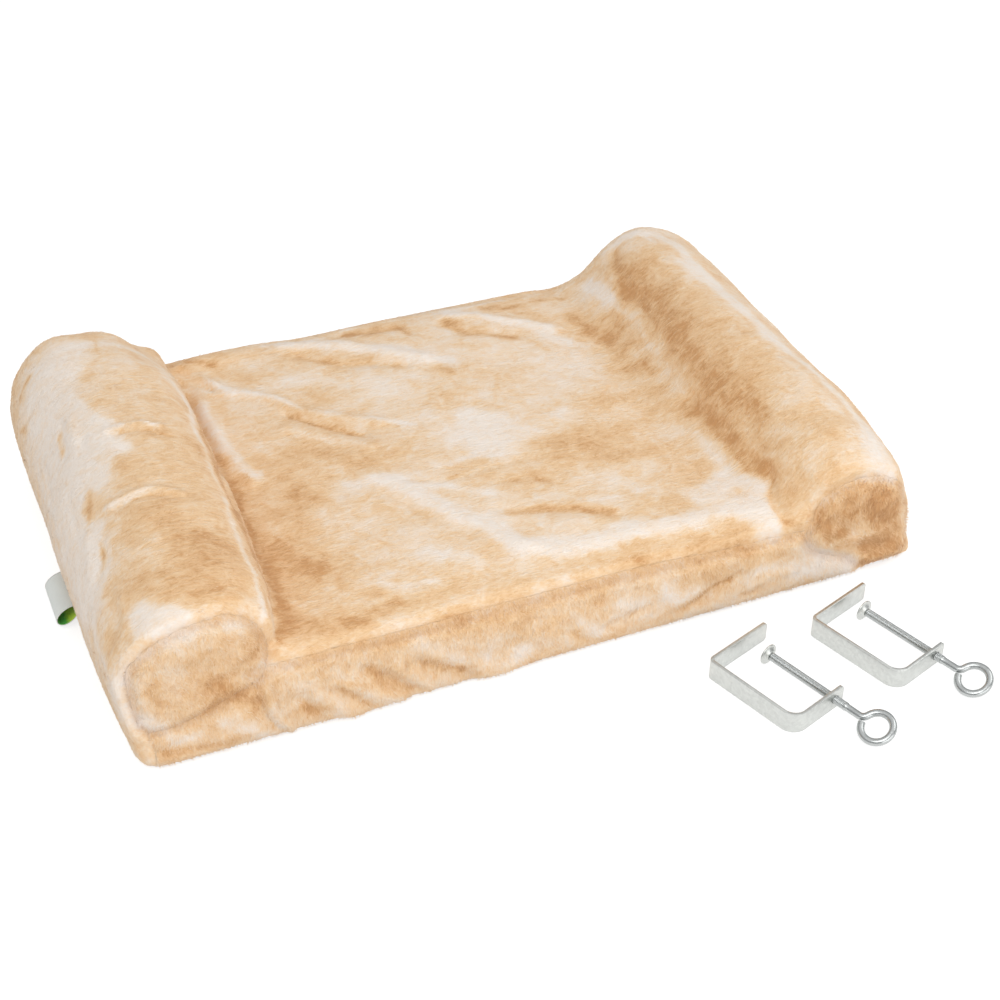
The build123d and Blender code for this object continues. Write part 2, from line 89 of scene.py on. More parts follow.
def lumps(points, size, seed=0):
    """Smooth noise from -1 to 1 with features of a size, which may differ by axis."""
    p = points / np.asarray(size, float)
    base = np.floor(p)
    f = p - base
    f = f * f * (3 - 2 * f)
    total = np.zeros(len(points))
    for dx in (0, 1):
        for dy in (0, 1):
            for dz in (0, 1):
                w = ((f[:, 0] if dx else 1 - f[:, 0]) * (f[:, 1] if dy else 1 - f[:, 1])
                     * (f[:, 2] if dz else 1 - f[:, 2]))
                total += w * lattice(base[:, 0] + dx, base[:, 1] + dy, base[:, 2] + dz, seed)
    return total * 2 - 1


def line_distance(points, line):
    """Distance of points from a polyline, in two or three dimensions."""
    line = np.asarray(line, float)
    nearest = np.full(len(points), np.inf)
    for a, b in zip(line[:-1], line[1:]):
        way = b - a
        t = np.clip(((points - a) @ way) / max(way @ way, 1e-6), 0, 1)
        nearest = np.minimum(nearest, ((points - (a + t[:, None] * way)) ** 2).sum(1))
    return np.sqrt(nearest)


def stroke_field(points, table):
    """The sum of soft strokes at points in metres: each a half width, a strength and a line in millimetres."""
    xyz = points / MM
    total = np.zeros(len(points))
    for width, strength, line in table:
        line = np.asarray(line, float)
        reach = 2.6 * width
        near = np.nonzero(((xyz > line.min(0) - reach) & (xyz < line.max(0) + reach)).all(1))[0]
        total[near] += strength * np.exp(-(line_distance(xyz[near], line) / width) ** 2)
    return total


def smoothstep(a, b, x):
    t = np.clip((x - a) / (b - a), 0, 1)
    return t * t * (3 - 2 * t)


def before(a, b, x):
    """1 up to a, falling to 0 at b."""
    return 1 - smoothstep(a, b, x)


def near_to(middle, width, x):
    """1 at the middle, falling off softly to both sides."""
    return np.exp(-((x - middle) / width) ** 2)


def rounded(points, steps=4, closed=True):
    """A smooth line through points, as a dense polyline."""
    p = np.asarray(points, float)
    n = len(p)
    out = []
    for i in range(n if closed else n - 1):
        if closed:
            a, b, c, d = p[(i - 1) % n], p[i], p[(i + 1) % n], p[(i + 2) % n]
        else:
            a, b, c, d = p[max(i - 1, 0)], p[i], p[i + 1], p[min(i + 2, n - 1)]
        for k in range(steps):
            t = k / steps
            out.append(0.5 * (2 * b + (c - a) * t + (2 * a - 5 * b + 4 * c - d) * t ** 2
                              + (3 * b - a - 3 * c + d) * t ** 3))
    if not closed:
        out.append(p[-1])
    return np.array(out)


def inside(points, polygon):
    """Which 2-D points lie in a polygon."""
    x, y = points[:, 0], points[:, 1]
    result = np.zeros(len(points), bool)
    n = len(polygon)
    for i in range(n):
        (x1, y1), (x2, y2) = polygon[i], polygon[(i + 1) % n]
        if y1 == y2:
            continue
        cross = ((y1 > y) != (y2 > y)) & (x < (x2 - x1) * (y - y1) / (y2 - y1) + x1)
        result ^= cross
    return result


def smooth(mesh):
    for polygon in mesh.polygons:
        polygon.use_smooth = True


def mesh_object(name, verts, faces):
    mesh = bpy.data.meshes.new(name)
    mesh.from_pydata([tuple(v) for v in verts], [], [tuple(f) for f in faces])
    mesh.validate()
    obj = bpy.data.objects.new(name, mesh)
    scene.collection.objects.link(obj)
    smooth(mesh)
    return obj


def coords(mesh):
    co = np.empty(len(mesh.vertices) * 3, np.float64)
    mesh.vertices.foreach_get("co", co)
    return co.reshape(-1, 3)


def normals(mesh):
    no = np.empty(len(mesh.vertices) * 3, np.float64)
    mesh.vertices.foreach_get("normal", no)
    return no.reshape(-1, 3)


def set_coords(mesh, co):
    mesh.vertices.foreach_set("co", np.ascontiguousarray(co, dtype=np.float64).ravel())
    mesh.update()


def applied(obj):
    """Replaces an object's mesh with the result of its modifiers."""
    dg = bpy.context.evaluated_depsgraph_get()
    mesh = bpy.data.meshes.new_from_object(obj.evaluated_get(dg))
    obj.modifiers.clear()
    old = obj.data
    obj.data = mesh
    bpy.data.meshes.remove(old)
    return obj


def thicken(obj, thickness, offset):
    """Gives a sheet its thickness: offset -1 inward, 0 to both sides, 1 outward."""
    thick = obj.modifiers.new("cloth_thickness", "SOLIDIFY")
    thick.thickness = thickness
    thick.offset = offset
    applied(obj)


def voxel_skin(obj, size):
    """One closed skin around all of an object's solids."""
    remesh = obj.modifiers.new("voxels", "REMESH")
    remesh.mode = "VOXEL"
    remesh.voxel_size = size
    applied(obj)


def face_outward(mesh):
    bm = bmesh.new()
    bm.from_mesh(mesh)
    bmesh.ops.recalc_face_normals(bm, faces=bm.faces)
    bm.to_mesh(mesh)
    bm.free()


def grid_faces(rows, columns, first=0, closed_rows=False, closed_columns=False):
    """Quads between the points of a grid that is listed row by row."""
    faces = []
    for i in range(rows if closed_rows else rows - 1):
        a, b = first + i * columns, first + (i + 1) % rows * columns
        for j in range(columns if closed_columns else columns - 1):
            k = (j + 1) % columns
            faces.append((a + j, a + k, b + k, b + j))
    return faces


def joined(name, node_names):
    """One new object with copies of several CAD nodes' meshes."""
    verts, faces, start = [], [], 0
    for n in node_names:
        mesh = nodes[n].data
        verts.extend(v.co.copy() for v in mesh.vertices)
        faces.extend([start + i for i in p.vertices] for p in mesh.polygons)
        start += len(mesh.vertices)
    return mesh_object(name, verts, faces)


def keep_largest(obj):
    """Drops the closed shells that a remesh leaves inside a solid."""
    bm = bmesh.new()
    bm.from_mesh(obj.data)
    bm.verts.ensure_lookup_table()
    seen = np.zeros(len(bm.verts), bool)
    groups = []
    for v in bm.verts:
        if seen[v.index]:
            continue
        stack, group = [v], []
        seen[v.index] = True
        while stack:
            q = stack.pop()
            group.append(q)
            for e in q.link_edges:
                o = e.other_vert(q)
                if not seen[o.index]:
                    seen[o.index] = True
                    stack.append(o)
        groups.append(group)
    groups.sort(key=len)
    for group in groups[:-1]:
        bmesh.ops.delete(bm, geom=group, context="VERTS")
    bm.to_mesh(obj.data)
    bm.free()


def relax(obj, rounds, weight=0.5, hold=None):
    """Evens out a mesh by moving each point towards the middle of its neighbours."""
    mesh = obj.data
    co = coords(mesh)
    edges = np.empty(len(mesh.edges) * 2, np.int64)
    mesh.edges.foreach_get("vertices", edges)
    edges = edges.reshape(-1, 2)
    count = np.bincount(edges.ravel(), minlength=len(co))[:, None]
    for _ in range(rounds):
        total = np.zeros_like(co)
        np.add.at(total, edges[:, 0], co[edges[:, 1]])
        np.add.at(total, edges[:, 1], co[edges[:, 0]])
        move = (total / count - co) * weight
        if hold is not None:
            move[hold] = 0
        co += move
    set_coords(mesh, co)


# Seams of the cover
# Places on the front and back faces, in millimetres: across, then up.

LEFT_CAP = rounded([
    (-277, 80), (-271, 88), (-262, 96), (-250, 102), (-238, 105), (-226, 106), (-213, 105), (-203, 99),
    (-195, 89), (-190, 76), (-189, 65), (-193, 57), (-199, 50), (-208, 46), (-221, 41), (-234, 36),
    (-247, 32), (-259, 30.5), (-269, 32), (-274, 39), (-276.5, 55), (-277.5, 70)], 3)
RIGHT_CAP = rounded([
    (184, 47), (189, 58), (194, 67.5), (202, 76), (212, 80.5), (223, 81.5), (235, 79.5), (248, 74.5),
    (259, 66), (266, 52), (270, 36), (271, 16), (267, 6), (257, 4), (240, 5), (229, 8), (219, 16),
    (202, 24), (189, 33)], 3)
BACK_LEFT_CAP = rounded([(-270, 60), (-268, 78), (-259, 91), (-246, 98), (-230, 101), (-214, 98), (-201, 90),
                         (-192, 77), (-188, 62), (-190, 49), (-202, 38), (-222, 34), (-254, 34), (-268, 38)])
BACK_RIGHT_CAP = rounded([(267, 50), (261, 68), (250, 80), (236, 88), (220, 91), (205, 87), (194, 77),
                          (188, 63), (190, 49), (200, 38), (218, 34), (250, 34), (264, 38)])
FRONT_SEAM = rounded([(-204, 57.5), (-189, 57.5), (-169, 57.5), (-141, 58), (-106, 58), (-79, 58), (-39, 58),
                      (-4, 56.5), (31, 56), (67, 55.5), (96, 54), (125, 52), (148, 51.5), (167, 51), (186, 50)],
                     3, closed=False)
BACK_SEAM = np.array([(-190, 57), (-60, 58.5), (60, 58.5), (190, 57)], float)
# The zip's opening: its lower and upper edge and half its length. The pull swings behind PULL_BACK.
ZIP_LOW, ZIP_HIGH, ZIP_END = 25.0, 35.0, 179.0
PULL_BACK = 171.0

# The front and back faces start this far from the middle, and only the mesh beyond the second is cut.
FACE_FROM, CUT_FROM = 150 * MM, 140 * MM

# The stuffed body

SOFT = ["cover_top_panel", "cover_front_band", "cover_back_band_upper", "cover_back_band_lower",
        "end_cap_front_left", "end_cap_front_right", "end_cap_back_left", "end_cap_back_right"]
FOAMS = ["mattress_foam", "bolster_foam_left", "bolster_foam_right"]
INSIDE = FOAMS + ["base_board", "bottom_panel", "slit_bindings", "zip_tape_upper", "zip_tape_lower"]

body = joined("stuffed_body", SOFT + INSIDE)
voxel_skin(body, 4.6 * MM)
keep_largest(body)
relax(body, 4)
relax(body, 2, -0.3)
relax(body, 2)


def grow(obj):
    """Gives back what the smoothing took off the edges, and fills the base out to the floor."""
    mesh = obj.data
    co, no = coords(mesh), normals(mesh)
    x, y, z = co[:, 0] / MM, co[:, 1] / MM, co[:, 2] / MM
    amount = 1.3 + 1.6 * before(4, 22, z)
    # The back edge of the lying area, most at its left.
    back_edge = smoothstep(140, 162, y) * smoothstep(38, 56, z) * smoothstep(-192, -180, x)
    amount += back_edge * before(120, 190, x) * (1.2 + 5.0 * before(-150, -40, x))
    # The left bolster's back end, slimmer beside its middle and lower towards the lying area.
    left_end = before(-190, -178, x) * smoothstep(50, 80, z)
    amount -= 2.6 * left_end * smoothstep(100, 158, y) * (1 - near_to(-250, 16, x))
    drop = 8.0 * before(-176, -166, x) * smoothstep(62, 80, z) * near_to(-182, 22, x) * smoothstep(85, 150, y)
    # The left flank, hollow behind its middle and full at its foot before it.
    amount -= 3.0 * before(-276, -262, x) * near_to(52, 44, y) * smoothstep(20, 40, z)
    amount += 2.2 * before(-266, -254, x) * near_to(-70, 34, y) * before(25, 60, z)
    # The foot of the front band, which droops in two places.
    droop = smoothstep(150, 162, -y) * before(6, 24, z)
    amount += droop * (1.3 + 4.2 * near_to(-134, 15, x) + 4.0 * near_to(-40, 15, x))
    # The right bolster, lower behind and fuller before its middle.
    high = smoothstep(60, 84, z)
    amount -= 2.0 * smoothstep(20, 60, y) * before(140, 162, y) * smoothstep(212, 232, x) * high
    amount += 3.5 * near_to(-78, 34, y) * smoothstep(205, 228, x) * high
    # The right front corner, with a full shoulder over a slim flank.
    shoulder = smoothstep(90, 120, -y) * smoothstep(244, 262, x)
    amount += shoulder * (1.2 * smoothstep(56, 68, z) - 1.0 * smoothstep(22, 34, z) * before(50, 60, z))
    amount -= 3.6 * smoothstep(96, 140, -y) * smoothstep(252, 268, x) * smoothstep(6, 26, z)
    # The front edge of the lying area, most at its left.
    front_edge = smoothstep(138, 156, -y) * smoothstep(48, 58, z) * smoothstep(-196, -186, x)
    amount += 3.0 * front_edge * before(-110, 20, x)
    co += no * (amount * MM)[:, None]
    co[:, 2] = np.maximum(co[:, 2] - drop * MM, 0.5 * MM)
    flat_back = (PULL_BACK - 0.8) * MM
    zip_face = (np.abs(x) < 188) & (z < 60) & (co[:, 1] > flat_back)
    co[zip_face, 1] = flat_back
    set_coords(mesh, co)


grow(body)


def ring(line):
    return np.vstack([line, line[:1]])


def seam_mask(points, reach):
    """1 on the sewn seams, falling to 0 at the reach, in metres."""
    xz = points[:, [0, 2]] / MM
    reach_mm = reach / MM
    mask = np.zeros(len(points))
    front, back = points[:, 1] < -FACE_FROM, points[:, 1] > FACE_FROM
    # The front seam is hollowed along its chord too, a little below its curve.
    front_lines = [ring(line) for line in (LEFT_CAP, RIGHT_CAP, FRONT_SEAM)]
    back_lines = [ring(BACK_LEFT_CAP), ring(BACK_RIGHT_CAP), BACK_SEAM]
    for where, lines in ((front, front_lines), (back, back_lines)):
        for line in lines:
            distance = line_distance(xz[where], line)
            mask[where] = np.maximum(mask[where], 1 - smoothstep(0.25 * reach_mm, reach_mm, distance))
    return mask


def puff(obj, frames, pressure, cap):
    """Cloth under a little pressure, held at the seams and the base, with its movement capped."""
    mesh = obj.data
    start = coords(mesh)
    held = seam_mask(start, 7 * MM)
    held = np.maximum(held, 1 - smoothstep(2 * MM, 8 * MM, start[:, 2]))
    group = obj.vertex_groups.new(name="held")
    for level in range(1, 11):
        chosen = np.nonzero(np.round(held * 10) == level)[0]
        if len(chosen):
            group.add([int(i) for i in chosen], level / 10, "REPLACE")
    cloth = obj.modifiers.new("cloth", "CLOTH")
    settings = cloth.settings
    settings.quality = 4
    settings.mass = 0.3
    settings.tension_stiffness = 20
    settings.compression_stiffness = 20
    settings.shear_stiffness = 8
    settings.bending_stiffness = 1.5
    settings.use_pressure = True
    settings.uniform_pressure_force = pressure
    settings.vertex_group_mass = "held"
    settings.pin_stiffness = 1.0
    settings.effector_weights.gravity = 0
    cloth.collision_settings.use_collision = False
    cloth.point_cache.frame_start = 1
    cloth.point_cache.frame_end = frames
    for f in range(1, frames + 1):
        scene.frame_set(f)
    dg = bpy.context.evaluated_depsgraph_get()
    done = obj.evaluated_get(dg).to_mesh()
    end = coords(done)
    obj.evaluated_get(dg).to_mesh_clear()
    obj.modifiers.clear()
    scene.frame_set(1)
    move = end - start
    size = np.linalg.norm(move, axis=1, keepdims=True)
    move *= np.minimum(1, cap / np.maximum(size, 1e-9))
    set_coords(mesh, start + move)


def finer(obj):
    divide = obj.modifiers.new("finer", "SUBSURF")
    divide.levels = 1
    divide.render_levels = 1
    applied(obj)


# The folds, the brush marks and the painted light and shade are placed on the calm body, as it is before it is
# blown up.
calm = bpy.data.objects.new("calm_body", body.data.copy())
scene.collection.objects.link(calm)
relax(calm, 2)
finer(calm)
calm_places = coords(calm.data)
calm_tree = BVHTree.FromPolygons([v.co for v in calm.data.vertices],
                                 [tuple(p.vertices) for p in calm.data.polygons])
bpy.data.objects.remove(calm)
puff(body, 20, 4.0, 2.4 * MM)
relax(body, 2)
finer(body)

# The strokes drawn over the picture run a little above the cloth, and no step between their places is long.
STROKE_LIFT, LONGEST_STEP = 0.7 * MM, 45
BODY_MIDDLE_X, BODY_MIDDLE_Y = 440, 500


def cast_place(x, y):
    """A picture place on the calm body, in millimetres. A place beside the body is drawn in to its edge."""
    while True:
        way = camera_turn @ Vector((x - PICTURE / 2, PICTURE / 2 - y, -FOCAL))
        place, normal, _, _ = calm_tree.ray_cast(camera_place, way.normalized())
        if place:
            return tuple((place + normal * STROKE_LIFT) / MM)
        x += (BODY_MIDDLE_X - x) / 100
        y += (BODY_MIDDLE_Y - y) / 100


def cast_strokes(table):
    """Strokes with their picture places cast onto the calm body."""
    strokes = []
    for width, strength, line in table:
        places = [line[0]]
        for (x0, y0), (x1, y1) in zip(line[:-1], line[1:]):
            steps = max(1, round(math.hypot(x1 - x0, y1 - y0) / LONGEST_STEP))
            places += [(x0 + (x1 - x0) * k / steps, y0 + (y1 - y0) * k / steps) for k in range(1, steps + 1)]
        strokes.append((width, strength, [cast_place(x, y) for x, y in places]))
    return strokes


# Folds and lumps
# Each fold: half width and height in millimetres (a negative height is a crease), and the places in the
# picture that it runs through.

FOLDS = cast_strokes([
    # lying area
    (4.6, 2.4, [(195, 382), (208, 386), (225, 393), (250, 397), (275, 402), (300, 413), (325, 418),
        (350, 421), (382, 425)]),
    (3.0, -2.0, [(284, 417), (310, 425), (335, 432), (364, 437)]),
    (4.5, 1.5, [(286, 431), (320, 438), (345, 443), (372, 449)]),
    (2.4, 1.8, [(178, 367), (195, 376), (216, 388)]),
    (2.4, -1.8, [(182, 374), (200, 386), (212, 393)]),
    (2.6, 1.6, [(178, 380), (190, 389), (205, 396), (232, 398)]),
    (2.2, -1.4, [(180, 385), (192, 394)]),
    (5.5, 2.6, [(200, 404), (212, 427), (222, 447), (236, 466), (252, 484)]),
    (4.5, -2.2, [(186, 398), (198, 426), (210, 450), (222, 480), (236, 511)]),
    (6.0, 2.4, [(280, 349), (310, 347), (346, 348), (380, 354), (424, 361)]),
    (4.5, -2.1, [(299, 357), (320, 363), (345, 367), (379, 366), (406, 368)]),
    (5.0, -1.7, [(340, 335), (370, 333), (400, 329), (410, 335)]),
    (5.0, 2.0, [(440, 318), (480, 320), (520, 325), (556, 332)]),
    (5.5, -1.7, [(440, 327), (465, 335), (490, 335), (516, 337)]),
    (7.0, 1.8, [(370, 479), (392, 485), (410, 494), (430, 506), (455, 518), (480, 527), (505, 539),
        (530, 548)]),
    (3.5, -1.0, [(384, 496), (410, 508), (436, 520), (470, 535)]),
    (7.0, 1.6, [(520, 548), (560, 549), (600, 541), (640, 530), (680, 524), (720, 518), (766, 512)]),
    (2.0, -0.9, [(402, 483), (440, 484), (462, 480), (492, 470), (524, 461)]),
    (5.0, -1.7, [(500, 511), (540, 512), (580, 512), (622, 516)]),
    (3.5, -0.8, [(498, 485), (530, 480), (560, 485)]),
    (7.0, -2.2, [(690, 402), (720, 432), (736, 451), (754, 466), (768, 478)]),
    (3.5, -1.8, [(766, 470), (773, 500), (784, 518), (792, 527)]),
    (14.0, 2.0, [(716, 500), (744, 506), (766, 522)]),
    (4.0, -0.9, [(727, 497), (741, 498)]),
    (8.0, -0.9, [(590, 565), (640, 554), (700, 540), (740, 535)]),
    # front band
    (2.4, 2.2, [(264, 686), (266, 696), (273, 713), (292, 729)]),
    (1.9, -2.4, [(258, 688), (260, 700), (267, 714), (284, 732)]),
    (1.8, -1.4, [(272, 688), (277, 704), (286, 718)]),
    (4.0, -2.2, [(300, 696), (308, 704), (318, 716)]),
    (4.0, -2.8, [(335, 690), (352, 695), (373, 708)]),
    (4.5, -3.4, [(366, 668), (390, 678), (416, 689)]),
    (4.5, 2.0, [(348, 684), (376, 692), (402, 699)]),
    (4.0, 1.8, [(318, 694), (334, 702), (350, 714)]),
    (4.5, -2.8, [(418, 661), (440, 667), (456, 672), (471, 680)]),
    (4.5, 1.8, [(394, 664), (410, 676), (430, 686)]),
    (4.0, 1.2, [(440, 652), (465, 660), (486, 668)]),
    (3.5, -1.8, [(604, 627), (626, 616), (648, 605)]),
    (6.0, 1.5, [(660, 584), (674, 600), (694, 591)]),
    (4.0, -2.2, [(696, 600), (718, 585), (736, 575)]),
    (3.5, -1.7, [(737, 597), (758, 587)]),
    (3.5, -1.7, [(672, 613), (692, 604), (706, 598)]),
    (3.0, -1.2, [(566, 630), (596, 642)]),
    (4.0, 1.5, [(750, 585), (770, 573), (790, 570)]),
    (3.0, -1.2, [(160, 753), (200, 747), (236, 740)]),
    (6.0, -1.0, [(210, 708), (240, 698), (256, 706)]),
    # left bolster
    (2.2, 1.9, [(104, 434), (125, 428), (140, 426), (162, 429)]),
    (2.0, -1.2, [(114, 437), (140, 433), (170, 439)]),
    (2.4, 2.0, [(106, 508), (125, 498), (145, 492), (163, 491), (182, 495)]),
    (2.2, -1.1, [(114, 512), (130, 502), (150, 498), (174, 499)]),
    (1.6, 0.7, [(136, 481), (164, 479)]),
    (2.0, 0.6, [(130, 552), (156, 540), (176, 535)]),
    (2.6, -1.2, [(28, 414), (20, 432)]),
    (3.6, -1.4, [(56, 426), (62, 456)]),
    (4.0, 1.0, [(68, 420), (74, 450)]),
    (3.2, -1.0, [(40, 464), (50, 500)]),
    (3.2, -1.0, [(67, 495), (75, 537)]),
    (4.0, 1.2, [(86, 535), (90, 580)]),
    (3.0, -1.0, [(102, 540), (98, 576)]),
    (5.0, -1.0, [(110, 588), (117, 620), (110, 644)]),
    (4.0, 1.0, [(122, 600), (126, 630)]),
    (4.0, -0.8, [(86, 610), (93, 640)]),
    (4.0, -1.0, [(78, 444), (88, 450)]),
    # right bolster
    (5.0, -1.2, [(612, 250), (618, 272), (632, 300), (652, 326), (668, 352)]),
    (4.0, 1.0, [(806, 466), (822, 482)]),
    (3.0, -1.0, [(788, 384), (796, 392)]),
    # caps
    (5.0, -1.6, [(830, 522), (850, 530)]),
    (6.0, -2.0, [(862, 548), (884, 546)]),
    (5.0, 1.2, [(850, 540), (876, 530)]),
    (7.0, 1.0, [(860, 500), (884, 504)]),
    (5.0, -1.4, [(204, 690), (228, 678), (246, 664)]),
    (7.0, 1.0, [(170, 664), (210, 648)]),
    (5.0, -1.2, [(152, 692), (160, 708)]),
])


def shape_cloth(obj):
    mesh = obj.data
    co, no = coords(mesh), normals(mesh)
    low = smoothstep(1.5 * MM, 14 * MM, co[:, 2])
    lift = stroke_field(calm_places, FOLDS)
    soft = (1.1 * lumps(co, (0.070, 0.055, 0.045), 3) + 0.65 * lumps(co, (0.030, 0.024, 0.024), 4)
            + 0.28 * lumps(co, (0.012, 0.010, 0.010), 5))
    front = smoothstep(0.4, 0.9, -no[:, 1])
    soft += front * (0.9 * lumps(co, (0.034, 0.03, 0.050), 6) + 0.7 * lumps(co, (0.016, 0.02, 0.024), 7))
    lift += soft * low
    seam = seam_mask(co, 9 * MM)
    hollow = -2.4 * seam ** 2 + 0.7 * np.exp(-((seam - 0.35) / 0.25) ** 2) * (seam > 0.02)
    lift = lift * (1 - 0.6 * seam) + hollow
    # The back stays flat around the zip.
    around_zip = (np.abs(co[:, 0]) < 186 * MM) & (co[:, 2] < 62 * MM)
    lift *= 1.0 - 0.95 * smoothstep(160 * MM, 166 * MM, co[:, 1]) * around_zip
    set_coords(mesh, co + no * (lift * MM)[:, None])


shape_cloth(body)
way_back = calm_places - coords(body.data)
body_tree = KDTree(len(way_back))
for index, point in enumerate(coords(body.data)):
    body_tree.insert(point, index)
body_tree.balance()


def on_calm_body(points):
    """Where each point was on the calm body."""
    nearest = [body_tree.find(point)[1] for point in points]
    return points + way_back[nearest]


# Cut the body into its sewn pieces


def cut_along(bm, line, side, closed):
    """Cuts the faces on the front or back along a line given across and up, in millimetres."""
    line = np.asarray(line) * MM
    pairs = [(line[i], line[i + 1]) for i in range(len(line) - 1)]
    if closed:
        pairs.append((line[-1], line[0]))
    for a, b in pairs:
        a3, b3 = Vector((a[0], 0, a[1])), Vector((b[0], 0, b[1]))
        along = b3 - a3
        if along.length < 1e-6:
            continue
        middle, reach = (a3 + b3) / 2, along.length / 2 + 4.5 * MM
        chosen = []
        for f in bm.faces:
            c = f.calc_center_median()
            if c.y * side > FACE_FROM and abs(c.x - middle.x) < reach and abs(c.z - middle.z) < reach:
                chosen.append(f)
        edges = {e for f in chosen for e in f.edges}
        verts = {v for f in chosen for v in f.verts}
        geom = list(edges) + list(verts) + chosen
        bmesh.ops.bisect_plane(bm, geom=geom, dist=2e-6, plane_co=a3, plane_no=(along.z, 0, -along.x))


# The zip's opening, and the short seams that run on from its upper corners.
ZIP_BOX = [(-ZIP_END, ZIP_LOW), (ZIP_END, ZIP_LOW), (ZIP_END, ZIP_HIGH), (-ZIP_END, ZIP_HIGH)]
ZIP_TAIL = 9
ZIP_TAILS = [[(side * ZIP_END, ZIP_HIGH), (side * (ZIP_END + ZIP_TAIL), ZIP_HIGH)] for side in (-1, 1)]

# The lining closes the cover from below within these distances of the middle.
LINING_REACH_X, LINING_REACH_Y = 262 * MM, 157 * MM
BAND_LEFT, FRONT_BAND_RIGHT, BACK_BAND_RIGHT = -268, 256, 268
HALF_MICRON = 0.5e-6

bm = bmesh.new()
bm.from_mesh(body.data)
bm.verts.index_update()
parts = {}


def end_faces(source, side):
    """The faces near the front or back, kept apart so that the cuts stay quick."""
    end = bmesh.new()
    lookup = {}
    for f in source.faces:
        if f.calc_center_median().y * side > CUT_FROM:
            for v in f.verts:
                if v.index not in lookup:
                    lookup[v.index] = end.verts.new(v.co)
            end.faces.new([lookup[v.index] for v in f.verts])
    return end


def welded(verts, lookup, co):
    """The index of a place in a list of places, which it joins if it is new."""
    key = tuple(round(c / HALF_MICRON) for c in co)
    if key not in lookup:
        lookup[key] = len(verts)
        verts.append(co.copy())
    return lookup[key]


def add_face(faces, ids):
    if len(set(ids)) == len(ids):
        faces.append(ids)


def take(name, source, test):
    """Copies the faces that pass a test into a named list of triangles and quads."""
    verts, faces, lookup = parts.setdefault(name, ([], [], {}))
    for f in source.faces:
        if test(f):
            add_face(faces, [welded(verts, lookup, v.co) for v in f.verts])


def is_underside(f):
    """Whether a face lies where the lining closes the cover from below."""
    c, up = f.calc_center_median(), f.normal.z
    within = abs(c.x) < LINING_REACH_X
    flat_below = c.z < 3 * MM and up < -0.5 and abs(c.y) < LINING_REACH_Y
    rolled_in = c.z < 6 * MM and up < 0.2 and abs(c.y) < LINING_REACH_Y + 0.5 * MM
    return within and (flat_below or rolled_in)


def sort_end(side, label, caps, seam, right_edge):
    """Cuts one end of the body along its seams and gives each face to its panel."""
    end = end_faces(bm, side)
    for cap in caps:
        cut_along(end, cap, side, True)
    cut_along(end, seam, side, False)
    if label == "back":
        cut_along(end, ZIP_BOX, side, True)
        for tail in ZIP_TAILS:
            cut_along(end, tail, side, False)
    end.normal_update()
    centres = np.array([f.calc_center_median() for f in end.faces])
    x, z = centres[:, 0] / MM, centres[:, 2] / MM
    xz = np.stack([x, z], 1)
    facing = np.array([f.normal.y * side for f in end.faces]) > -0.2
    near = (centres[:, 1] * side > np.where(z > 49, 159 * MM, FACE_FROM)) & facing
    low = z < np.interp(x, seam[:, 0], seam[:, 1])
    left_foot = (x < -196) & (z < 52)
    right_foot = (x > 186) & (z < 46)
    band = near & (x > BAND_LEFT) & (x < right_edge) & (low | left_foot | right_foot)
    kind = np.full(len(centres), "top", dtype=object)
    kind[band] = "front_band" if label == "front" else "back_band_lower"
    if label == "back":
        kind[band & low & (z > ZIP_HIGH)] = "back_band_upper"
        kind[near & inside(xz, ZIP_BOX)] = "gap"
    for cap, place in zip(caps, ("left", "right")):
        kind[near & inside(xz, cap)] = f"cap_{label}_{place}"
    end.faces.index_update()
    kinds = list(kind)
    for name in sorted(set(kinds) - {"gap"}):
        take(name, end, lambda f, n=name: kinds[f.index] == n and not is_underside(f))
    end.free()


sort_end(-1, "front", (LEFT_CAP, RIGHT_CAP), FRONT_SEAM, FRONT_BAND_RIGHT)
sort_end(1, "back", (BACK_LEFT_CAP, BACK_RIGHT_CAP), BACK_SEAM, BACK_BAND_RIGHT)
bm.normal_update()
take("top", bm, lambda f: abs(f.calc_center_median().y) <= CUT_FROM and not is_underside(f))
bm.free()
bpy.data.objects.remove(body)

# The name of each plush panel and the CAD node that it stands for.
PANELS = {
    "top": ("plush_top_panel", "cover_top_panel"),
    "front_band": ("plush_front_band", "cover_front_band"),
    "back_band_upper": ("plush_back_band_upper", "cover_back_band_upper"),
    "back_band_lower": ("plush_back_band_lower", "cover_back_band_lower"),
    "cap_front_left": ("plush_cap_front_left", "end_cap_front_left"),
    "cap_front_right": ("plush_cap_front_right", "end_cap_front_right"),
    "cap_back_left": ("plush_cap_back_left", "end_cap_back_left"),
    "cap_back_right": ("plush_cap_back_right", "end_cap_back_right"),
}


def give_islands(key, other):
    """Hands the faces that hang apart from a panel's main part to another panel."""
    verts, faces, _ = parts[key]
    root = list(range(len(verts)))

    def find(i):
        while root[i] != i:
            root[i] = root[root[i]]
            i = root[i]
        return i

    for face in faces:
        for corner in face[1:]:
            root[find(corner)] = find(face[0])
    groups = {}
    for face in faces:
        groups.setdefault(find(face[0]), []).append(face)
    main = max(groups.values(), key=len)
    other_verts, other_faces, lookup = parts[other]
    for group in groups.values():
        if group is not main:
            for face in group:
                add_face(other_faces, [welded(other_verts, lookup, verts[corner]) for corner in face])
    parts[key] = (verts, main, {})


for key in PANELS:
    if key != "top":
        give_islands(key, "top")

panels = {}
for key, (name, _) in PANELS.items():
    verts, faces, _ = parts[key]
    panel = mesh_object(name, verts, faces)
    bm = bmesh.new()
    bm.from_mesh(panel.data)
    bmesh.ops.delete(bm, geom=[v for v in bm.verts if not v.link_faces], context="VERTS")
    bmesh.ops.remove_doubles(bm, verts=bm.verts, dist=3e-5)
    bm.to_mesh(panel.data)
    bm.free()
    keep_largest(panel)
    panels[key] = panel

# Foam inside the cover
FOAM_CLEARANCE = 3.2 * MM

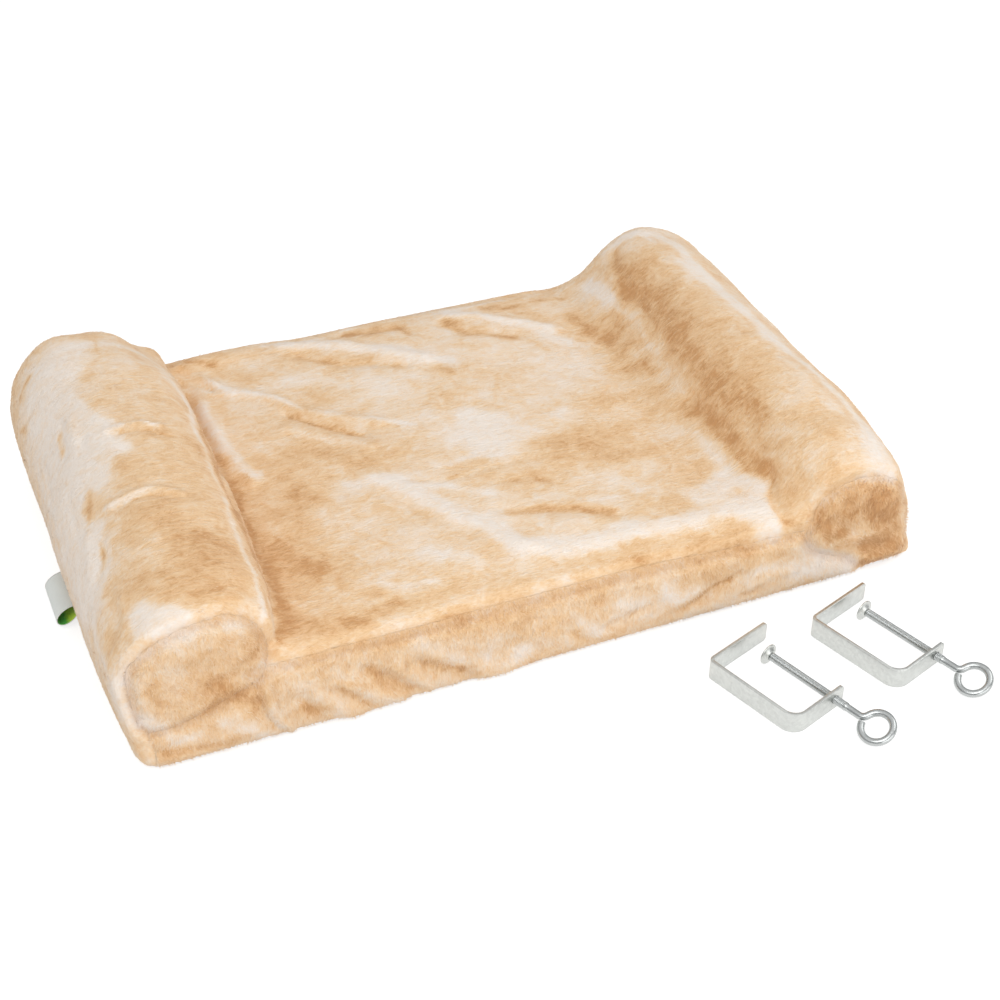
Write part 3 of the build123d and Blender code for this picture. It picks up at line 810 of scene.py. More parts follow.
foams = []
for name in FOAMS:
    foam = joined("core_" + name, [name])
    voxel_skin(foam, 6 * MM)
    relax(foam, 2)
    set_coords(foam.data, coords(foam.data) - normals(foam.data) * FOAM_CLEARANCE)
    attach(foam, "lounger")
    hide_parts(name)
    foams.append(foam)

# Where the pile is pale or dark: its own brushed and crushed marks, with painted shade in the folds' creases,
# in corners and beside the left bolster, and painted highlights along the folds' ridges, the front edge of the
# lying area and the bolsters' rims.
# Each stroke: half width in millimetres, strength (pale above zero, dark below) and the places in the
# picture that it runs through.
BRUSHED_AND_PAINTED_LIGHT = cast_strokes([
    # lying area: brushed marks, painted highlights on the fold ridges and the front edge, painted shade in the
    # creases
    (2.5, 0.5, [(262, 347), (301, 343), (341, 331), (380, 322), (430, 315), (470, 309), (503, 301)]),
    (7.8, 0.75, [(284, 348), (311, 347), (345, 349), (381, 354), (420, 361), (450, 362)]),
    (4.3, 0.8, [(445, 319), (481, 320), (520, 325), (551, 331)]),
    (13.6, 0.35, [(290, 382), (330, 386), (380, 386), (412, 380)]),
    # painted highlights along the ridges of the folds
    (2.5, 0.85, [(208, 386), (225, 393), (250, 397), (276, 402), (301, 414), (325, 418), (349, 421),
        (380, 425), (409, 428)]),
    (5.8, 0.75, [(203, 410), (212, 427), (222, 447), (236, 466), (250, 480)]),
    (9.7, 0.35, [(262, 450), (266, 470), (256, 480)]),
    (1.6, 0.6, [(180, 368), (195, 376), (212, 386)]),
    (1.8, 0.6, [(180, 381), (190, 389), (205, 396), (230, 397)]),
    (2.9, 0.5, [(290, 432), (320, 438), (345, 443), (365, 447)]),
    (5.8, 0.6, [(345, 487), (358, 492)]),
    # painted highlight along the rounded front edge of the lying area
    (7.8, 1.0, [(374, 480), (392, 485), (410, 494), (430, 506), (455, 518), (480, 527), (505, 539),
        (525, 548), (560, 549), (600, 541), (640, 530), (680, 524), (720, 518), (760, 512)]),
    (14.6, 0.85, [(716, 498), (748, 508), (768, 524)]),
    (6.8, 0.8, [(722, 482), (745, 480), (760, 484)]),
    (5.4, 0.7, [(402, 489), (430, 487), (460, 491), (490, 493)]),
    (13.6, 0.65, [(470, 418), (480, 438), (492, 452)]),
    (13.6, 0.35, [(505, 432), (540, 430), (572, 416)]),
    (13.6, 0.3, [(478, 392), (520, 386), (562, 386)]),
    (4.9, 0.5, [(420, 462), (440, 470), (462, 463), (482, 457)]),
    (7.8, 0.5, [(424, 552), (445, 556), (480, 567)]),
    (4.9, 0.6, [(362, 591), (400, 588), (432, 582)]),
    (7.8, 0.35, [(366, 580), (392, 575)]),
    (7.8, 0.35, [(510, 561), (540, 575), (582, 571)]),
    (5.8, 0.45, [(548, 338), (582, 349)]),
    (7.8, 0.8, [(588, 285), (600, 290), (608, 298)]),
    (5.8, 0.6, [(612, 302), (626, 312), (641, 327), (650, 344), (656, 354)]),
    (7.8, 0.5, [(698, 440), (714, 458), (722, 470)]),
    (7.8, 0.35, [(612, 482), (640, 490), (680, 495), (700, 500)]),
    (3.9, 0.4, [(540, 500), (560, 497), (600, 504), (622, 500)]),
    (8.8, 0.3, [(640, 440), (660, 432), (690, 428)]),
    (9.7, 0.3, [(590, 520), (560, 528)]),
    # painted shade: the dark back left corner, the folds' shadows and the creases
    (4.9, -0.9, [(184, 364), (200, 367), (212, 367)]),
    (7.8, -0.35, [(226, 371), (246, 380), (250, 388)]),
    (1.6, -0.8, [(186, 376), (200, 386), (208, 391)]),
    (1.5, -0.6, [(182, 385), (190, 392)]),
    (4.3, -0.8, [(345, 335), (370, 333), (400, 329), (406, 335)]),
    (3.9, -0.7, [(303, 358), (320, 362), (345, 366), (380, 366), (402, 368)]),
    (5.8, -0.4, [(438, 370), (452, 378)]),
    (5.4, -0.8, [(446, 328), (465, 335), (490, 335), (512, 336)]),
    (5.8, -0.35, [(440, 346), (480, 351), (502, 346)]),
    (4.9, -0.6, [(482, 311), (510, 309), (540, 303), (560, 301)]),
    (8.8, -0.5, [(574, 320), (600, 334), (612, 342)]),
    (6.8, -0.4, [(620, 371), (640, 366), (650, 375)]),
    (8.8, -0.35, [(655, 412), (682, 405)]),
    (2.3, -0.95, [(289, 419), (309, 423), (336, 431), (362, 436)]),
    # painted shadow along the foot of the left bolster
    (4.3, -0.8, [(184, 397), (196, 426), (207, 450), (220, 480), (234, 510), (247, 540), (260, 566),
        (271, 595), (278, 620), (282, 637)]),
    (11.6, -0.4, [(300, 458), (330, 455), (350, 465), (370, 466)]),
    (9.7, -0.35, [(300, 492), (340, 510), (398, 508), (420, 520)]),
    (23.4, -0.45, [(262, 552), (300, 568), (330, 568)]),
    (10.7, -0.4, [(294, 620), (330, 625), (398, 606)]),
    (11.6, -0.3, [(300, 520), (328, 540)]),
    (4.9, -0.8, [(506, 512), (540, 512), (580, 512), (616, 516)]),
    (2.9, -0.5, [(502, 485), (530, 480), (556, 485)]),
    (1.1, -0.6, [(406, 483), (440, 484), (462, 480), (492, 470), (520, 462)]),
    (7.8, -0.55, [(700, 412), (720, 432), (736, 451), (754, 466), (764, 474)]),
    (5.8, -0.6, [(747, 467), (757, 468)]),
    (2.2, -0.6, [(769, 478), (773, 500), (784, 518), (791, 525)]),
    (3.9, -0.7, [(789, 520), (792, 525)]),
    (3.9, -0.5, [(729, 497), (739, 498)]),
    (6.8, -0.3, [(640, 480), (662, 486)]),
    (5.8, -0.3, [(640, 561), (700, 549), (742, 546)]),
    (4.9, -0.25, [(520, 577), (600, 571), (640, 562)]),
    (6.8, -0.3, [(560, 470), (600, 462), (640, 462), (670, 450)]),
    (5.8, -0.3, [(600, 400), (640, 402), (660, 395)]),
    # front band and seam: painted highlights on the folds' ridges and painted shade in their creases, among
    # brushed marks
    (4.9, 0.4, [(266, 661), (290, 666)]),
    (1.6, 0.8, [(266, 690), (273, 710), (287, 728)]),
    (1.0, -0.8, [(258, 690), (264, 710), (278, 727)]),
    (5.8, 0.6, [(226, 722), (250, 726), (268, 730)]),
    (4.9, 0.5, [(142, 726), (180, 736), (200, 729)]),
    (7.8, -0.45, [(208, 708), (238, 698), (256, 704)]),
    (3.9, -0.5, [(162, 752), (200, 746), (230, 741)]),
    (3.9, -0.7, [(305, 701), (316, 712)]),
    (2.9, -0.8, [(340, 692), (351, 695), (366, 702)]),
    (2.9, -0.95, [(372, 671), (390, 678), (412, 687)]),
    (4.9, 0.5, [(352, 685), (382, 697), (399, 695)]),
    (3.9, 0.4, [(330, 701), (345, 714)]),
    (3.9, -0.8, [(424, 662), (440, 666), (456, 670), (464, 674)]),
    (3.9, 0.5, [(402, 668), (408, 678)]),
    (5.8, 0.4, [(420, 645), (440, 650), (460, 653)]),
    (5.8, 0.45, [(483, 656), (503, 664), (522, 652)]),
    (5.8, 0.5, [(580, 620), (600, 629), (622, 616)]),
    (2.5, -0.5, [(570, 632), (592, 640)]),
    (2.5, -0.6, [(610, 624), (626, 616), (644, 607)]),
    (5.8, 0.5, [(622, 602), (642, 604)]),
    (5.8, 0.5, [(660, 586), (672, 599), (692, 592)]),
    (2.6, -0.75, [(702, 596), (718, 585), (732, 578)]),
    (2.5, -0.5, [(741, 594), (756, 589)]),
    (3.9, -0.55, [(676, 611), (692, 604), (702, 600)]),
    (6.8, 0.5, [(750, 571), (790, 561), (800, 573)]),
    (8.8, 0.9, [(816, 566), (836, 566), (850, 566)]),
    (7.8, 0.5, [(806, 548), (820, 555)]),
    (1.1, -0.7, [(826, 556), (845, 557), (858, 561)]),
    (6.8, -0.3, [(440, 630), (500, 615), (560, 602), (600, 592)]),
    (6.8, -0.3, [(301, 647), (342, 649), (401, 641)]),
    (7.8, 0.25, [(540, 640), (560, 645), (520, 655)]),
    # right front cap: painted shade over most of it, with a few paler marks
    (14.6, -0.9, [(862, 500), (880, 500), (888, 516)]),
    (8.8, -0.9, [(828, 520), (838, 530)]),
    (12.7, -1.0, [(868, 545), (888, 543)]),
    (4.9, -0.8, [(865, 563), (881, 563)]),
    (3.9, 0.6, [(851, 534), (874, 528)]),
    (6.8, 0.1, [(822, 492), (824, 508), (814, 524)]),
    (2.5, 0.5, [(845, 486), (868, 481), (888, 484)]),
    (3.9, 0.35, [(903, 502), (905, 526), (898, 544)]),
    # left front cap: painted shade in its creases, and paler marks
    (9.7, -0.5, [(150, 690), (160, 704)]),
    (7.8, -0.6, [(208, 681), (222, 690)]),
    (5.8, -0.4, [(252, 655), (260, 642)]),
    (4.9, 0.4, [(142, 719), (158, 725)]),
    (4.9, 0.45, [(142, 664), (158, 651), (178, 640), (205, 631), (240, 624)]),
    (13.6, 0.15, [(180, 660), (210, 652)]),
    # left bolster: paler marks, painted highlights along its folds' ridges, painted shade in the creases
    (7.8, 0.5, [(62, 347), (100, 343), (135, 353), (158, 367), (169, 384)]),
    (25.2, 1.0, [(48, 372), (48, 400), (48, 440), (60, 480), (70, 520), (76, 560), (86, 592)]),
    (3.9, -0.6, [(28, 378), (22, 398)]),
    (2.1, -0.6, [(26, 420), (21, 430)]),
    (3.9, -0.65, [(57, 432), (61, 450)]),
    (3.9, -0.55, [(80, 446), (85, 449)]),
    (2.5, -0.35, [(39, 470), (47, 495)]),
    (2.5, -0.35, [(66, 500), (74, 530)]),
    (9.7, 1.0, [(86, 445), (100, 448), (119, 450)]),
    (7.8, 0.8, [(80, 410), (90, 424), (104, 428)]),
    (2.0, 0.9, [(108, 432), (125, 428), (140, 426), (157, 428)]),
    (1.4, -0.7, [(120, 434), (140, 433), (166, 437)]),
    (2.0, 0.85, [(110, 505), (125, 498), (145, 492), (163, 491), (177, 493)]),
    (1.4, -0.5, [(118, 509), (130, 502), (150, 498), (170, 497)]),
    (1.4, 0.4, [(140, 480), (160, 479)]),
    (9.7, 0.9, [(80, 472), (98, 478)]),
    (6.8, -0.75, [(88, 499), (92, 512)]),
    (5.8, 0.8, [(100, 525), (95, 545)]),
    (3.9, 0.7, [(88, 545), (90, 575)]),
    (2.5, -0.5, [(101, 550), (98, 570)]),
    (11.6, -0.3, [(102, 402), (122, 408), (152, 402)]),
    (11.6, -0.25, [(165, 436), (190, 448)]),
    (15.5, -0.25, [(130, 520), (170, 530), (200, 550)]),
    (13.6, -0.2, [(130, 575), (170, 585), (210, 590)]),
    (3.9, 0.4, [(174, 388), (189, 420), (203, 455), (221, 500), (240, 545), (256, 588), (266, 616)]),
    (8.8, 1.1, [(140, 611), (156, 615), (172, 619)]),
    (5.8, 0.9, [(142, 626), (150, 630)]),
    (6.8, 0.35, [(192, 612), (230, 607), (250, 600)]),
    (5.8, -0.3, [(112, 592), (116, 620), (111, 640)]),
    (11.6, 0.5, [(120, 682), (112, 700), (128, 718)]),
    (3.9, 0.4, [(90, 610), (96, 640), (106, 670)]),
    (2.1, 0.5, [(140, 548), (155, 540)]),
    # right bolster: painted sheen with pale patches along its rim, painted shade on its inner slope and in a
    # crease
    (6.3, 0.75, [(606, 254), (624, 237), (650, 231), (677, 246), (715, 286), (754, 320), (794, 355),
        (837, 393), (863, 423), (883, 456), (895, 478)]),
    (11.6, 0.6, [(682, 262), (702, 278)]),
    (14.6, 0.7, [(872, 446), (878, 468)]),
    (7.8, 0.3, [(730, 300), (760, 332), (800, 372)]),
    (15.5, -0.45, [(632, 280), (656, 318), (680, 346), (704, 372), (732, 396), (762, 412)]),
    (6.8, -0.6, [(612, 252), (616, 268), (626, 290)]),
    (11.6, -0.3, [(642, 265), (660, 258)]),
    (13.6, -0.15, [(742, 442), (790, 452), (822, 452)]),
    (11.6, -0.25, [(770, 472), (800, 478), (832, 472)]),
    (7.8, 0.3, [(806, 470), (820, 480)]),
    (5.8, 0.35, [(790, 396), (820, 400), (840, 412)]),
    (7.8, -0.25, [(800, 420), (830, 436)]),
    (3.9, 0.4, [(640, 233), (650, 240)]),
    (1.6, -0.4, [(636, 238), (652, 236)]),
    # painted shade in the creases, and mottling, on the left bolster's outer side
    (2.2, -0.5, [(30, 374), (20, 400)]),
    (1.8, -0.6, [(26, 430), (18, 436)]),
    (1.4, -0.35, [(38, 410), (18, 424)]),
    (2.2, -0.7, [(55, 436), (60, 452)]),
    (1.8, -0.5, [(60, 455), (60, 468)]),
    (2.5, -0.6, [(79, 441), (82, 452)]),
    (1.4, -0.35, [(83, 463), (96, 463)]),
    (2.2, -0.4, [(36, 443), (38, 458)]),
    (1.8, -0.4, [(46, 426), (50, 438)]),
    (2.9, -0.4, [(87, 490), (91, 518)]),
    (1.4, -0.4, [(76, 510), (78, 530)]),
    (2.5, -0.7, [(100, 542), (100, 558)]),
    (1.4, -0.3, [(66, 482), (70, 510)]),
    (2.2, -0.35, [(43, 496), (53, 526)]),
    (2.2, -0.4, [(58, 542), (62, 554)]),
    (2.2, -0.4, [(90, 566), (90, 598)]),
    (2.2, 0.5, [(94, 530), (88, 556)]),
    (2.9, -0.45, [(96, 340), (100, 350)]),
    (4.3, 0.5, [(100, 442), (120, 454)]),
    # painted shadow on the lying area beside the left bolster, and a painted highlight along the bolster's edge
    (4.7, -0.6, [(205, 435), (224, 478), (242, 520), (260, 562), (279, 603), (293, 631)]),
    (3.2, 0.3, [(178, 393), (203, 450), (222, 495), (240, 540), (254, 580), (264, 612)]),
    # broad painted highlights on the fold ridges and painted shade in the creases along the back of the lying
    # area
    (5.8, 0.4, [(290, 344), (330, 346), (370, 351), (420, 358)]),
    (5.8, 0.4, [(445, 313), (495, 320), (545, 332)]),
    (10.1, 0.25, [(556, 340), (592, 374)]),
    (5.8, -0.45, [(346, 334), (402, 325)]),
    (5.8, -0.4, [(440, 326), (485, 332), (530, 342)]),
    (11.5, 0.25, [(480, 420), (520, 440)]),
])

# The shaded line where the lying area meets the left bolster, with its places in millimetres.
BESIDE_BOLSTER = [(4.0, 1.0, [(-165, 110, 62), (-168, -32, 62), (-169, -156, 61)])]

# Broad, soft differences, placed in the same way.
BROAD = [
    (34, 0.26, [(4, 131, 65), (65, 121, 65), (94, 60, 65)]),
    (26, 0.20, [(-36, 62, 66), (-3, 9, 68)]),
    (22, 0.16, [(-50, -57, 68), (3, -102, 66)]),
    (24, 0.18, [(-107, -50, 66), (-127, -84, 65)]),
    (22, -0.14, [(62, -34, 66), (96, -41, 64)]),
    (22, 0.10, [(-12, 2, 66), (30, -30, 66)]),
    (20, 0.14, [(-112, 96, 68), (-95, 106, 68)]),
    (24, -0.15, [(150, -150, 62), (60, -164, 62), (0, -163, 62)]),
    (26, -0.17, [(86, 111, 66), (128, 94, 66), (160, 56, 68)]),
    (24, -0.16, [(136, 5, 66), (150, 30, 66)]),
    # The next two are painted shade on the inner slopes of the right and the left bolster.
    (24, -0.20, [(184, 100, 102), (190, 9, 104), (182, -60, 98)]),
    (26, -0.18, [(-209, -150, 104), (-192, -122, 100), (-176, -52, 90), (-172, 0, 104)]),
    (24, -0.14, [(-128, -36, 68), (-146, 19, 70)]),
    (26, 0.22, [(-284, 80, 70), (-286, 0, 60), (-286, -80, 55)]),
    (20, -0.16, [(-225, -60, 118), (-222, -120, 118)]),
    (24, -0.20, [(262, -60, 80), (266, -120, 70)]),
]


def write_values(mesh, name, values):
    attribute = mesh.attributes.new(name, "FLOAT", "POINT")
    attribute.data.foreach_set("value", values.astype(np.float32))


def pile_marks_and_painted_light(obj):
    """Writes how pale the pile is at each point of a panel, with its brushed marks and its painted highlights
    and shade, and how much painted shade it takes at the seams and beside the left bolster.
    """
    mesh = obj.data
    co = on_calm_body(coords(mesh))
    wander = np.stack([lumps(co, 0.022, seed) for seed in (21, 22, 23)], 1) * 4 * MM
    wander += np.stack([lumps(co, 0.008, seed) for seed in (24, 25, 26)], 1) * 1.6 * MM
    pale = 0.46 + 0.10 * lumps(co, (0.075, 0.045, 0.06), 11) + 0.10 * lumps(co, (0.034, 0.020, 0.03), 12)
    pale += 0.10 * lumps(co, (0.016, 0.009, 0.014), 13)
    marks = stroke_field(co + wander, BRUSHED_AND_PAINTED_LIGHT)
    crisp = np.sign(marks) * smoothstep(0.18, 0.62, np.abs(marks))
    pale += 0.62 * (0.55 * marks + 0.45 * crisp * np.maximum(0.75, np.abs(marks)))
    pale += stroke_field(co, BROAD)
    pale = np.where(pale < 0.15, 0.15 * np.exp((np.minimum(pale, 0.15) - 0.15) / 0.3), pale)
    pale = np.where(pale > 0.85, 1 - 0.15 * np.exp((0.85 - np.maximum(pale, 0.85)) / 0.3), pale)
    # Painted shade: darker along the sewn seams and in the shaded line beside the left bolster.
    painted_shade = np.maximum(seam_mask(co, 5 * MM) * 0.7, 0.9 * np.clip(stroke_field(co, BESIDE_BOLSTER), 0, 1))
    write_values(mesh, "pale", np.clip(pale, -0.5, 1.5))
    write_values(mesh, "painted_shade", np.clip(painted_shade, -0.5, 1.5))


rng = np.random.default_rng(7)
# Tufts of pile: how many to a square centimetre, their length and half width in millimetres,
# how far they stand up, in degrees, the way they lie, and how much that way wanders.
PILE = {
    "top": (16, 2.7, 0.32, 9, (1, 0, 0), 0.9),
    "front_band": (44, 3.2, 0.33, 22, (0.15, 0, -1), 0.8),
    "back_band_upper": (20, 3.2, 0.34, 20, (0, 0, -1), 0.6),
    "back_band_lower": (20, 3.2, 0.34, 20, (0, 0, -1), 0.6),
    "cap_front_left": (46, 2.8, 0.32, 34, (0.3, 0, -1), 1.8),
    "cap_front_right": (46, 3.2, 0.34, 30, (0.2, 0, -1), 1.6),
    "cap_back_left": (24, 3.2, 0.34, 30, (0, 0, -1), 1.2),
    "cap_back_right": (24, 3.2, 0.34, 30, (0, 0, -1), 1.2),
}
# The pull swings over the back within this half width and below this height.
PULL_HALF_PATH, PULL_TOP = 202, 44


def unit(ways):
    return ways / np.maximum(np.linalg.norm(ways, axis=-1, keepdims=True), 1e-12)


class Scatter:
    """Random places on a mesh, so many to a square centimetre."""

    def __init__(self, mesh, per_cm2):
        mesh.calc_loop_triangles()
        tris = np.empty(len(mesh.loop_triangles) * 3, np.int64)
        mesh.loop_triangles.foreach_get("vertices", tris)
        tris = tris.reshape(-1, 3)
        a, b, c = (coords(mesh)[tris[:, k]] for k in range(3))
        area = np.linalg.norm(np.cross(b - a, c - a), axis=1) / 2
        self.count = int(area.sum() * 1e4 * per_cm2)
        pick = np.searchsorted(np.cumsum(area), rng.random(self.count) * area.sum())
        u, v = rng.random(self.count), rng.random(self.count)
        flip = u + v > 1
        u[flip], v[flip] = 1 - u[flip], 1 - v[flip]
        self.corners = tris[np.minimum(pick, len(tris) - 1)]
        self.shares = np.stack([1 - u - v, u, v], 1)

    def keep(self, chosen):
        self.corners, self.shares = self.corners[chosen], self.shares[chosen]
        self.count = len(self.corners)

    def blend(self, values):
        """The mesh's values at each place."""
        shares = self.shares[..., None] if values.ndim > 1 else self.shares
        return (values[self.corners] * shares).sum(1)


def lying_ways(root, up, lie, wander):
    """The way along the surface that each tuft lies, and the way to its side."""
    angle = wander * (lumps(root, 0.03, 41) + 0.6 * lumps(root, 0.009, 42))
    angle += 0.35 * rng.standard_normal(len(root))
    cos, sin = np.cos(angle)[:, None], np.sin(angle)[:, None]
    way = np.tile(np.asarray(lie, float), (len(root), 1))
    way = unit(way - up * (way * up).sum(1, keepdims=True))
    side = np.cross(up, way)
    return way * cos + side * sin, side * cos - way * sin


def over_zip(places):
    """Which places stand before the zip's opening."""
    x, y, z = np.abs(places[:, 0]) / MM, places[:, 1] / MM, places[:, 2] / MM
    return (y > 155) & (x < ZIP_END + 2) & (z > ZIP_LOW) & (z < ZIP_HIGH - 0.5)


def tuft_points(root, tip, up, side, wide):
    """Four points for each tuft, two at its foot, one on its ridge and its tip, clear of floor and pull."""
    low = root - up * 0.12 * MM
    ridge = root + up * wide * 0.3 + 0.25 * (tip - root)
    points = np.stack([low - side * wide, low + side * wide, ridge, tip], 1)
    points[..., 2] = np.maximum(points[..., 2], 0.2 * MM)
    on_path = (np.abs(points[..., 0]) < PULL_HALF_PATH * MM) & (points[..., 2] < PULL_TOP * MM)
    behind_pull = np.minimum(points[..., 1], (PULL_BACK - 0.3) * MM)
    points[..., 1] = np.where(on_path, behind_pull, points[..., 1])
    return points


# The four faces of a tuft, and how much of each one's own slope its shading keeps.
TUFT_FACES = np.array([(0, 2, 1), (0, 3, 2), (2, 3, 1), (1, 3, 0)])
OWN_SLOPE = np.array([0.3, 0.3, 0.3, 1.0])[None, :, None, None]


def tuft_mesh(name, points):
    faces = (np.arange(len(points))[:, None, None] * 4 + TUFT_FACES[None]).reshape(-1, 3)
    mesh = bpy.data.meshes.new(name)
    mesh.vertices.add(len(points) * 4)
    mesh.vertices.foreach_set("co", points.reshape(-1))
    mesh.loops.add(len(faces) * 3)
    mesh.loops.foreach_set("vertex_index", faces.reshape(-1).astype(np.int32))
    mesh.polygons.add(len(faces))
    mesh.polygons.foreach_set("loop_start", np.arange(0, len(faces) * 3, 3, dtype=np.int32))
    mesh.update(calc_edges=True)
    mesh.polygons.foreach_set("use_smooth", np.ones(len(faces), bool))
    return mesh


def colour_tufts(mesh, source, scatter):
    """Gives each tuft the cloth's marks, with their painted highlights and shade, a little lighter or darker
    and paler towards its tip.
    """
    shift = 0.09 * rng.standard_normal(scatter.count)
    for field in ("pale", "painted_shade"):
        values = np.empty(len(source.vertices), np.float32)
        source.attributes[field].data.foreach_get("value", values)
        values = np.repeat(scatter.blend(values.astype(float))[:, None], 4, 1)
        if field == "pale":
            values += shift[:, None] + np.array([-0.04, -0.04, 0.05, 0.12])
        write_values(mesh, field, values.reshape(-1))


def shade_tufts(mesh, points, root, up, long):
    """Shades each tuft nearly as the cloth it stands on."""
    soft = unit(up[:, None, :] + 0.2 * (points - root[:, None, :]) / long[:, :, None])
    corners = points[:, TUFT_FACES]
    flat = unit(np.cross(corners[:, :, 1] - corners[:, :, 0], corners[:, :, 2] - corners[:, :, 0]))
    shading = unit((1 - OWN_SLOPE) * soft[:, TUFT_FACES] + OWN_SLOPE * flat[:, :, None, :])
    mesh.normals_split_custom_set(shading.reshape(-1, 3).tolist())


def pile_tufts(name, surface, per_cm2, length, half_width, stand, lie, wander):
    """Small closed tufts standing on a surface, with their colour taken from it."""
    scatter = Scatter(surface.data, per_cm2)
    root, up = scatter.blend(coords(surface.data)), unit(scatter.blend(normals(surface.data)))
    way, side = lying_ways(root, up, lie, wander)
    rise = np.radians(stand * (0.6 + 0.8 * rng.random(scatter.count)))[:, None]
    long = (length * (0.55 + 0.75 * rng.random(scatter.count)) * MM)[:, None]
    wide = (half_width * (0.7 + 0.6 * rng.random(scatter.count)) * MM)[:, None]
    tip = root + long * (way * np.cos(rise) + up * np.sin(rise))
    chosen = ~over_zip(tip)
    scatter.keep(chosen)
    root, tip, up, side, long, wide = (rows[chosen] for rows in (root, tip, up, side, long, wide))
    points = tuft_points(root, tip, up, side, wide)
    mesh = tuft_mesh(name, points)
    colour_tufts(mesh, surface.data, scatter)
    shade_tufts(mesh, points, root, up, long)
    obj = bpy.data.objects.new(name, mesh)
    scene.collection.objects.link(obj)
    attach(obj, "lounger")
    return obj


def clear_of_pull(mesh):
    """Keeps the back face behind the path of the zip's swinging pull."""
    co = coords(mesh)
    x, z = np.abs(co[:, 0]) / MM, co[:, 2] / MM
    off_path = np.maximum(smoothstep(PULL_HALF_PATH - 2, PULL_HALF_PATH + 12, x),
                          smoothstep(PULL_TOP - 2, PULL_TOP + 14, z))
    co[:, 1] = np.minimum(co[:, 1], (PULL_BACK - 0.9 + 4 * off_path) * MM)
    set_coords(mesh, co)


piles = {}
for key, panel in panels.items():
    name, node = PANELS[key]
    pile_marks_and_painted_light(panel)
    clear_of_pull(panel.data)
    piles[key] = pile_tufts(name.replace("plush_", "pile_"), panel, *PILE[key])
    thicken(panel, 2.2 * MM, -1)
    smooth(panel.data)
    panel.name = name
    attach(panel, "lounger")
    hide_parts(node)

# Materials


class Nodes:
    """Small helper for building the node tree of a material or a world."""

    def __init__(self, owner, output="ShaderNodeOutputMaterial"):
        owner.use_nodes = True
        self.owner = owner
        self.tree = owner.node_tree
        self.tree.nodes.clear()
        self.out = self.add(output)

    def feed(self, socket, value):
        if isinstance(value, bpy.types.NodeSocket):
            self.tree.links.new(value, socket)
        else:
            socket.default_value = value

    def add(self, kind, inputs=None, **settings):
        node = self.tree.nodes.new(kind)
        for key, value in settings.items():
            setattr(node, key, value)
        for key, value in (inputs or {}).items():
            self.feed(node.inputs[key], value)
        return node

    def attribute(self, name):
        return self.add("ShaderNodeAttribute", attribute_name=name).outputs["Fac"]

    def noise(self, vector, scale, detail=2.0, roughness=0.5, distortion=0.0):
        return self.add("ShaderNodeTexNoise", {"Vector": vector, "Scale": scale, "Detail": detail,
                                               "Roughness": roughness, "Distortion": distortion}).outputs["Fac"]

    def wave(self, vector, scale, distortion, direction):
        return self.add("ShaderNodeTexWave", {"Vector": vector, "Scale": scale, "Distortion": distortion},
                        bands_direction=direction).outputs["Fac"]

    def math(self, operation, a, b):
        return self.add("ShaderNodeMath", {0: a, 1: b}, operation=operation).outputs[0]

    def shares(self, *parts):
        """The sum of values, each multiplied by its share."""
        total = None
        for value, share in parts:
            part = self.math("MULTIPLY", value, share)
            total = part if total is None else self.math("ADD", total, part)
        return total

    def swing(self, noise):
        """A noise's swing about its middle."""
        return self.math("SUBTRACT", noise, 0.5)

    def ramp(self, factor, stops):
        node = self.add("ShaderNodeValToRGB", {"Fac": factor})
        ramp = node.color_ramp
        ramp.elements[0].position, ramp.elements[0].color = stops[0]
        ramp.elements[1].position, ramp.elements[1].color = stops[-1]
        for position, colour in stops[1:-1]:
            ramp.elements.new(position).color = colour
        return node.outputs["Color"]

    def mix(self, factor, a, b):
        return self.add("ShaderNodeMix", {0: factor, 6: a, 7: b}, data_type="RGBA").outputs[2]

    def stretched(self, scale=(1, 1, 1)):
        coord = self.add("ShaderNodeTexCoord").outputs["Object"]
        return self.add("ShaderNodeMapping", {"Vector": coord, "Scale": scale}).outputs["Vector"]

    def bump(self, height, strength, depth):
        """A normal from a height, with its depth in millimetres."""
        inputs = {"Height": height, "Strength": strength, "Distance": depth * MM}
        return self.add("ShaderNodeBump", inputs).outputs[0]

    def surface(self, shader):
        self.feed(self.out.inputs["Surface"], shader.outputs[0])
        return self.owner

    def principled(self, **inputs):
        """A finished material. Its inputs are named with _ for a blank."""
        named = {key.replace("_", " "): value for key, value in inputs.items()}
        return self.surface(self.add("ShaderNodeBsdfPrincipled", named))


def material_nodes(name):
    return Nodes(bpy.data.materials.new(name))


def srgb(r, g, b):
    def linear(v):
        v /= 255
        return v / 12.92 if v <= 0.04045 else ((v + 0.055) / 1.055) ** 2.4
    return (linear(r), linear(g), linear(b), 1.0)


PLUSH_STOPS = [(0.00, srgb(208, 158, 108)), (0.20, srgb(228, 187, 141)), (0.40, srgb(237, 203, 162)),
               (0.60, srgb(241, 217, 189)), (0.80, srgb(243, 226, 208)), (1.00, srgb(244, 233, 222))]
# The colour of the painted shade along the seams and beside the left bolster.
PLUSH_SHADE = srgb(190, 136, 90)
SHEEN = srgb(250, 235, 220)


def plush_colour(n, *noises):
    """The colour of the pile at a point: its pale and dark marks, which hold painted highlights and shade, with
    noises that play about it, and painted shade mixed in at the seams and beside the left bolster.
    """
    blotch = n.noise(n.stretched(), 70, 5.0, 0.66, 0.8)
    value = n.shares((n.attribute("pale"), 1.0), (n.swing(blotch), 0.9), *noises)
    return n.mix(n.shares((n.attribute("painted_shade"), 0.30)), n.ramp(value, PLUSH_STOPS), PLUSH_SHADE)


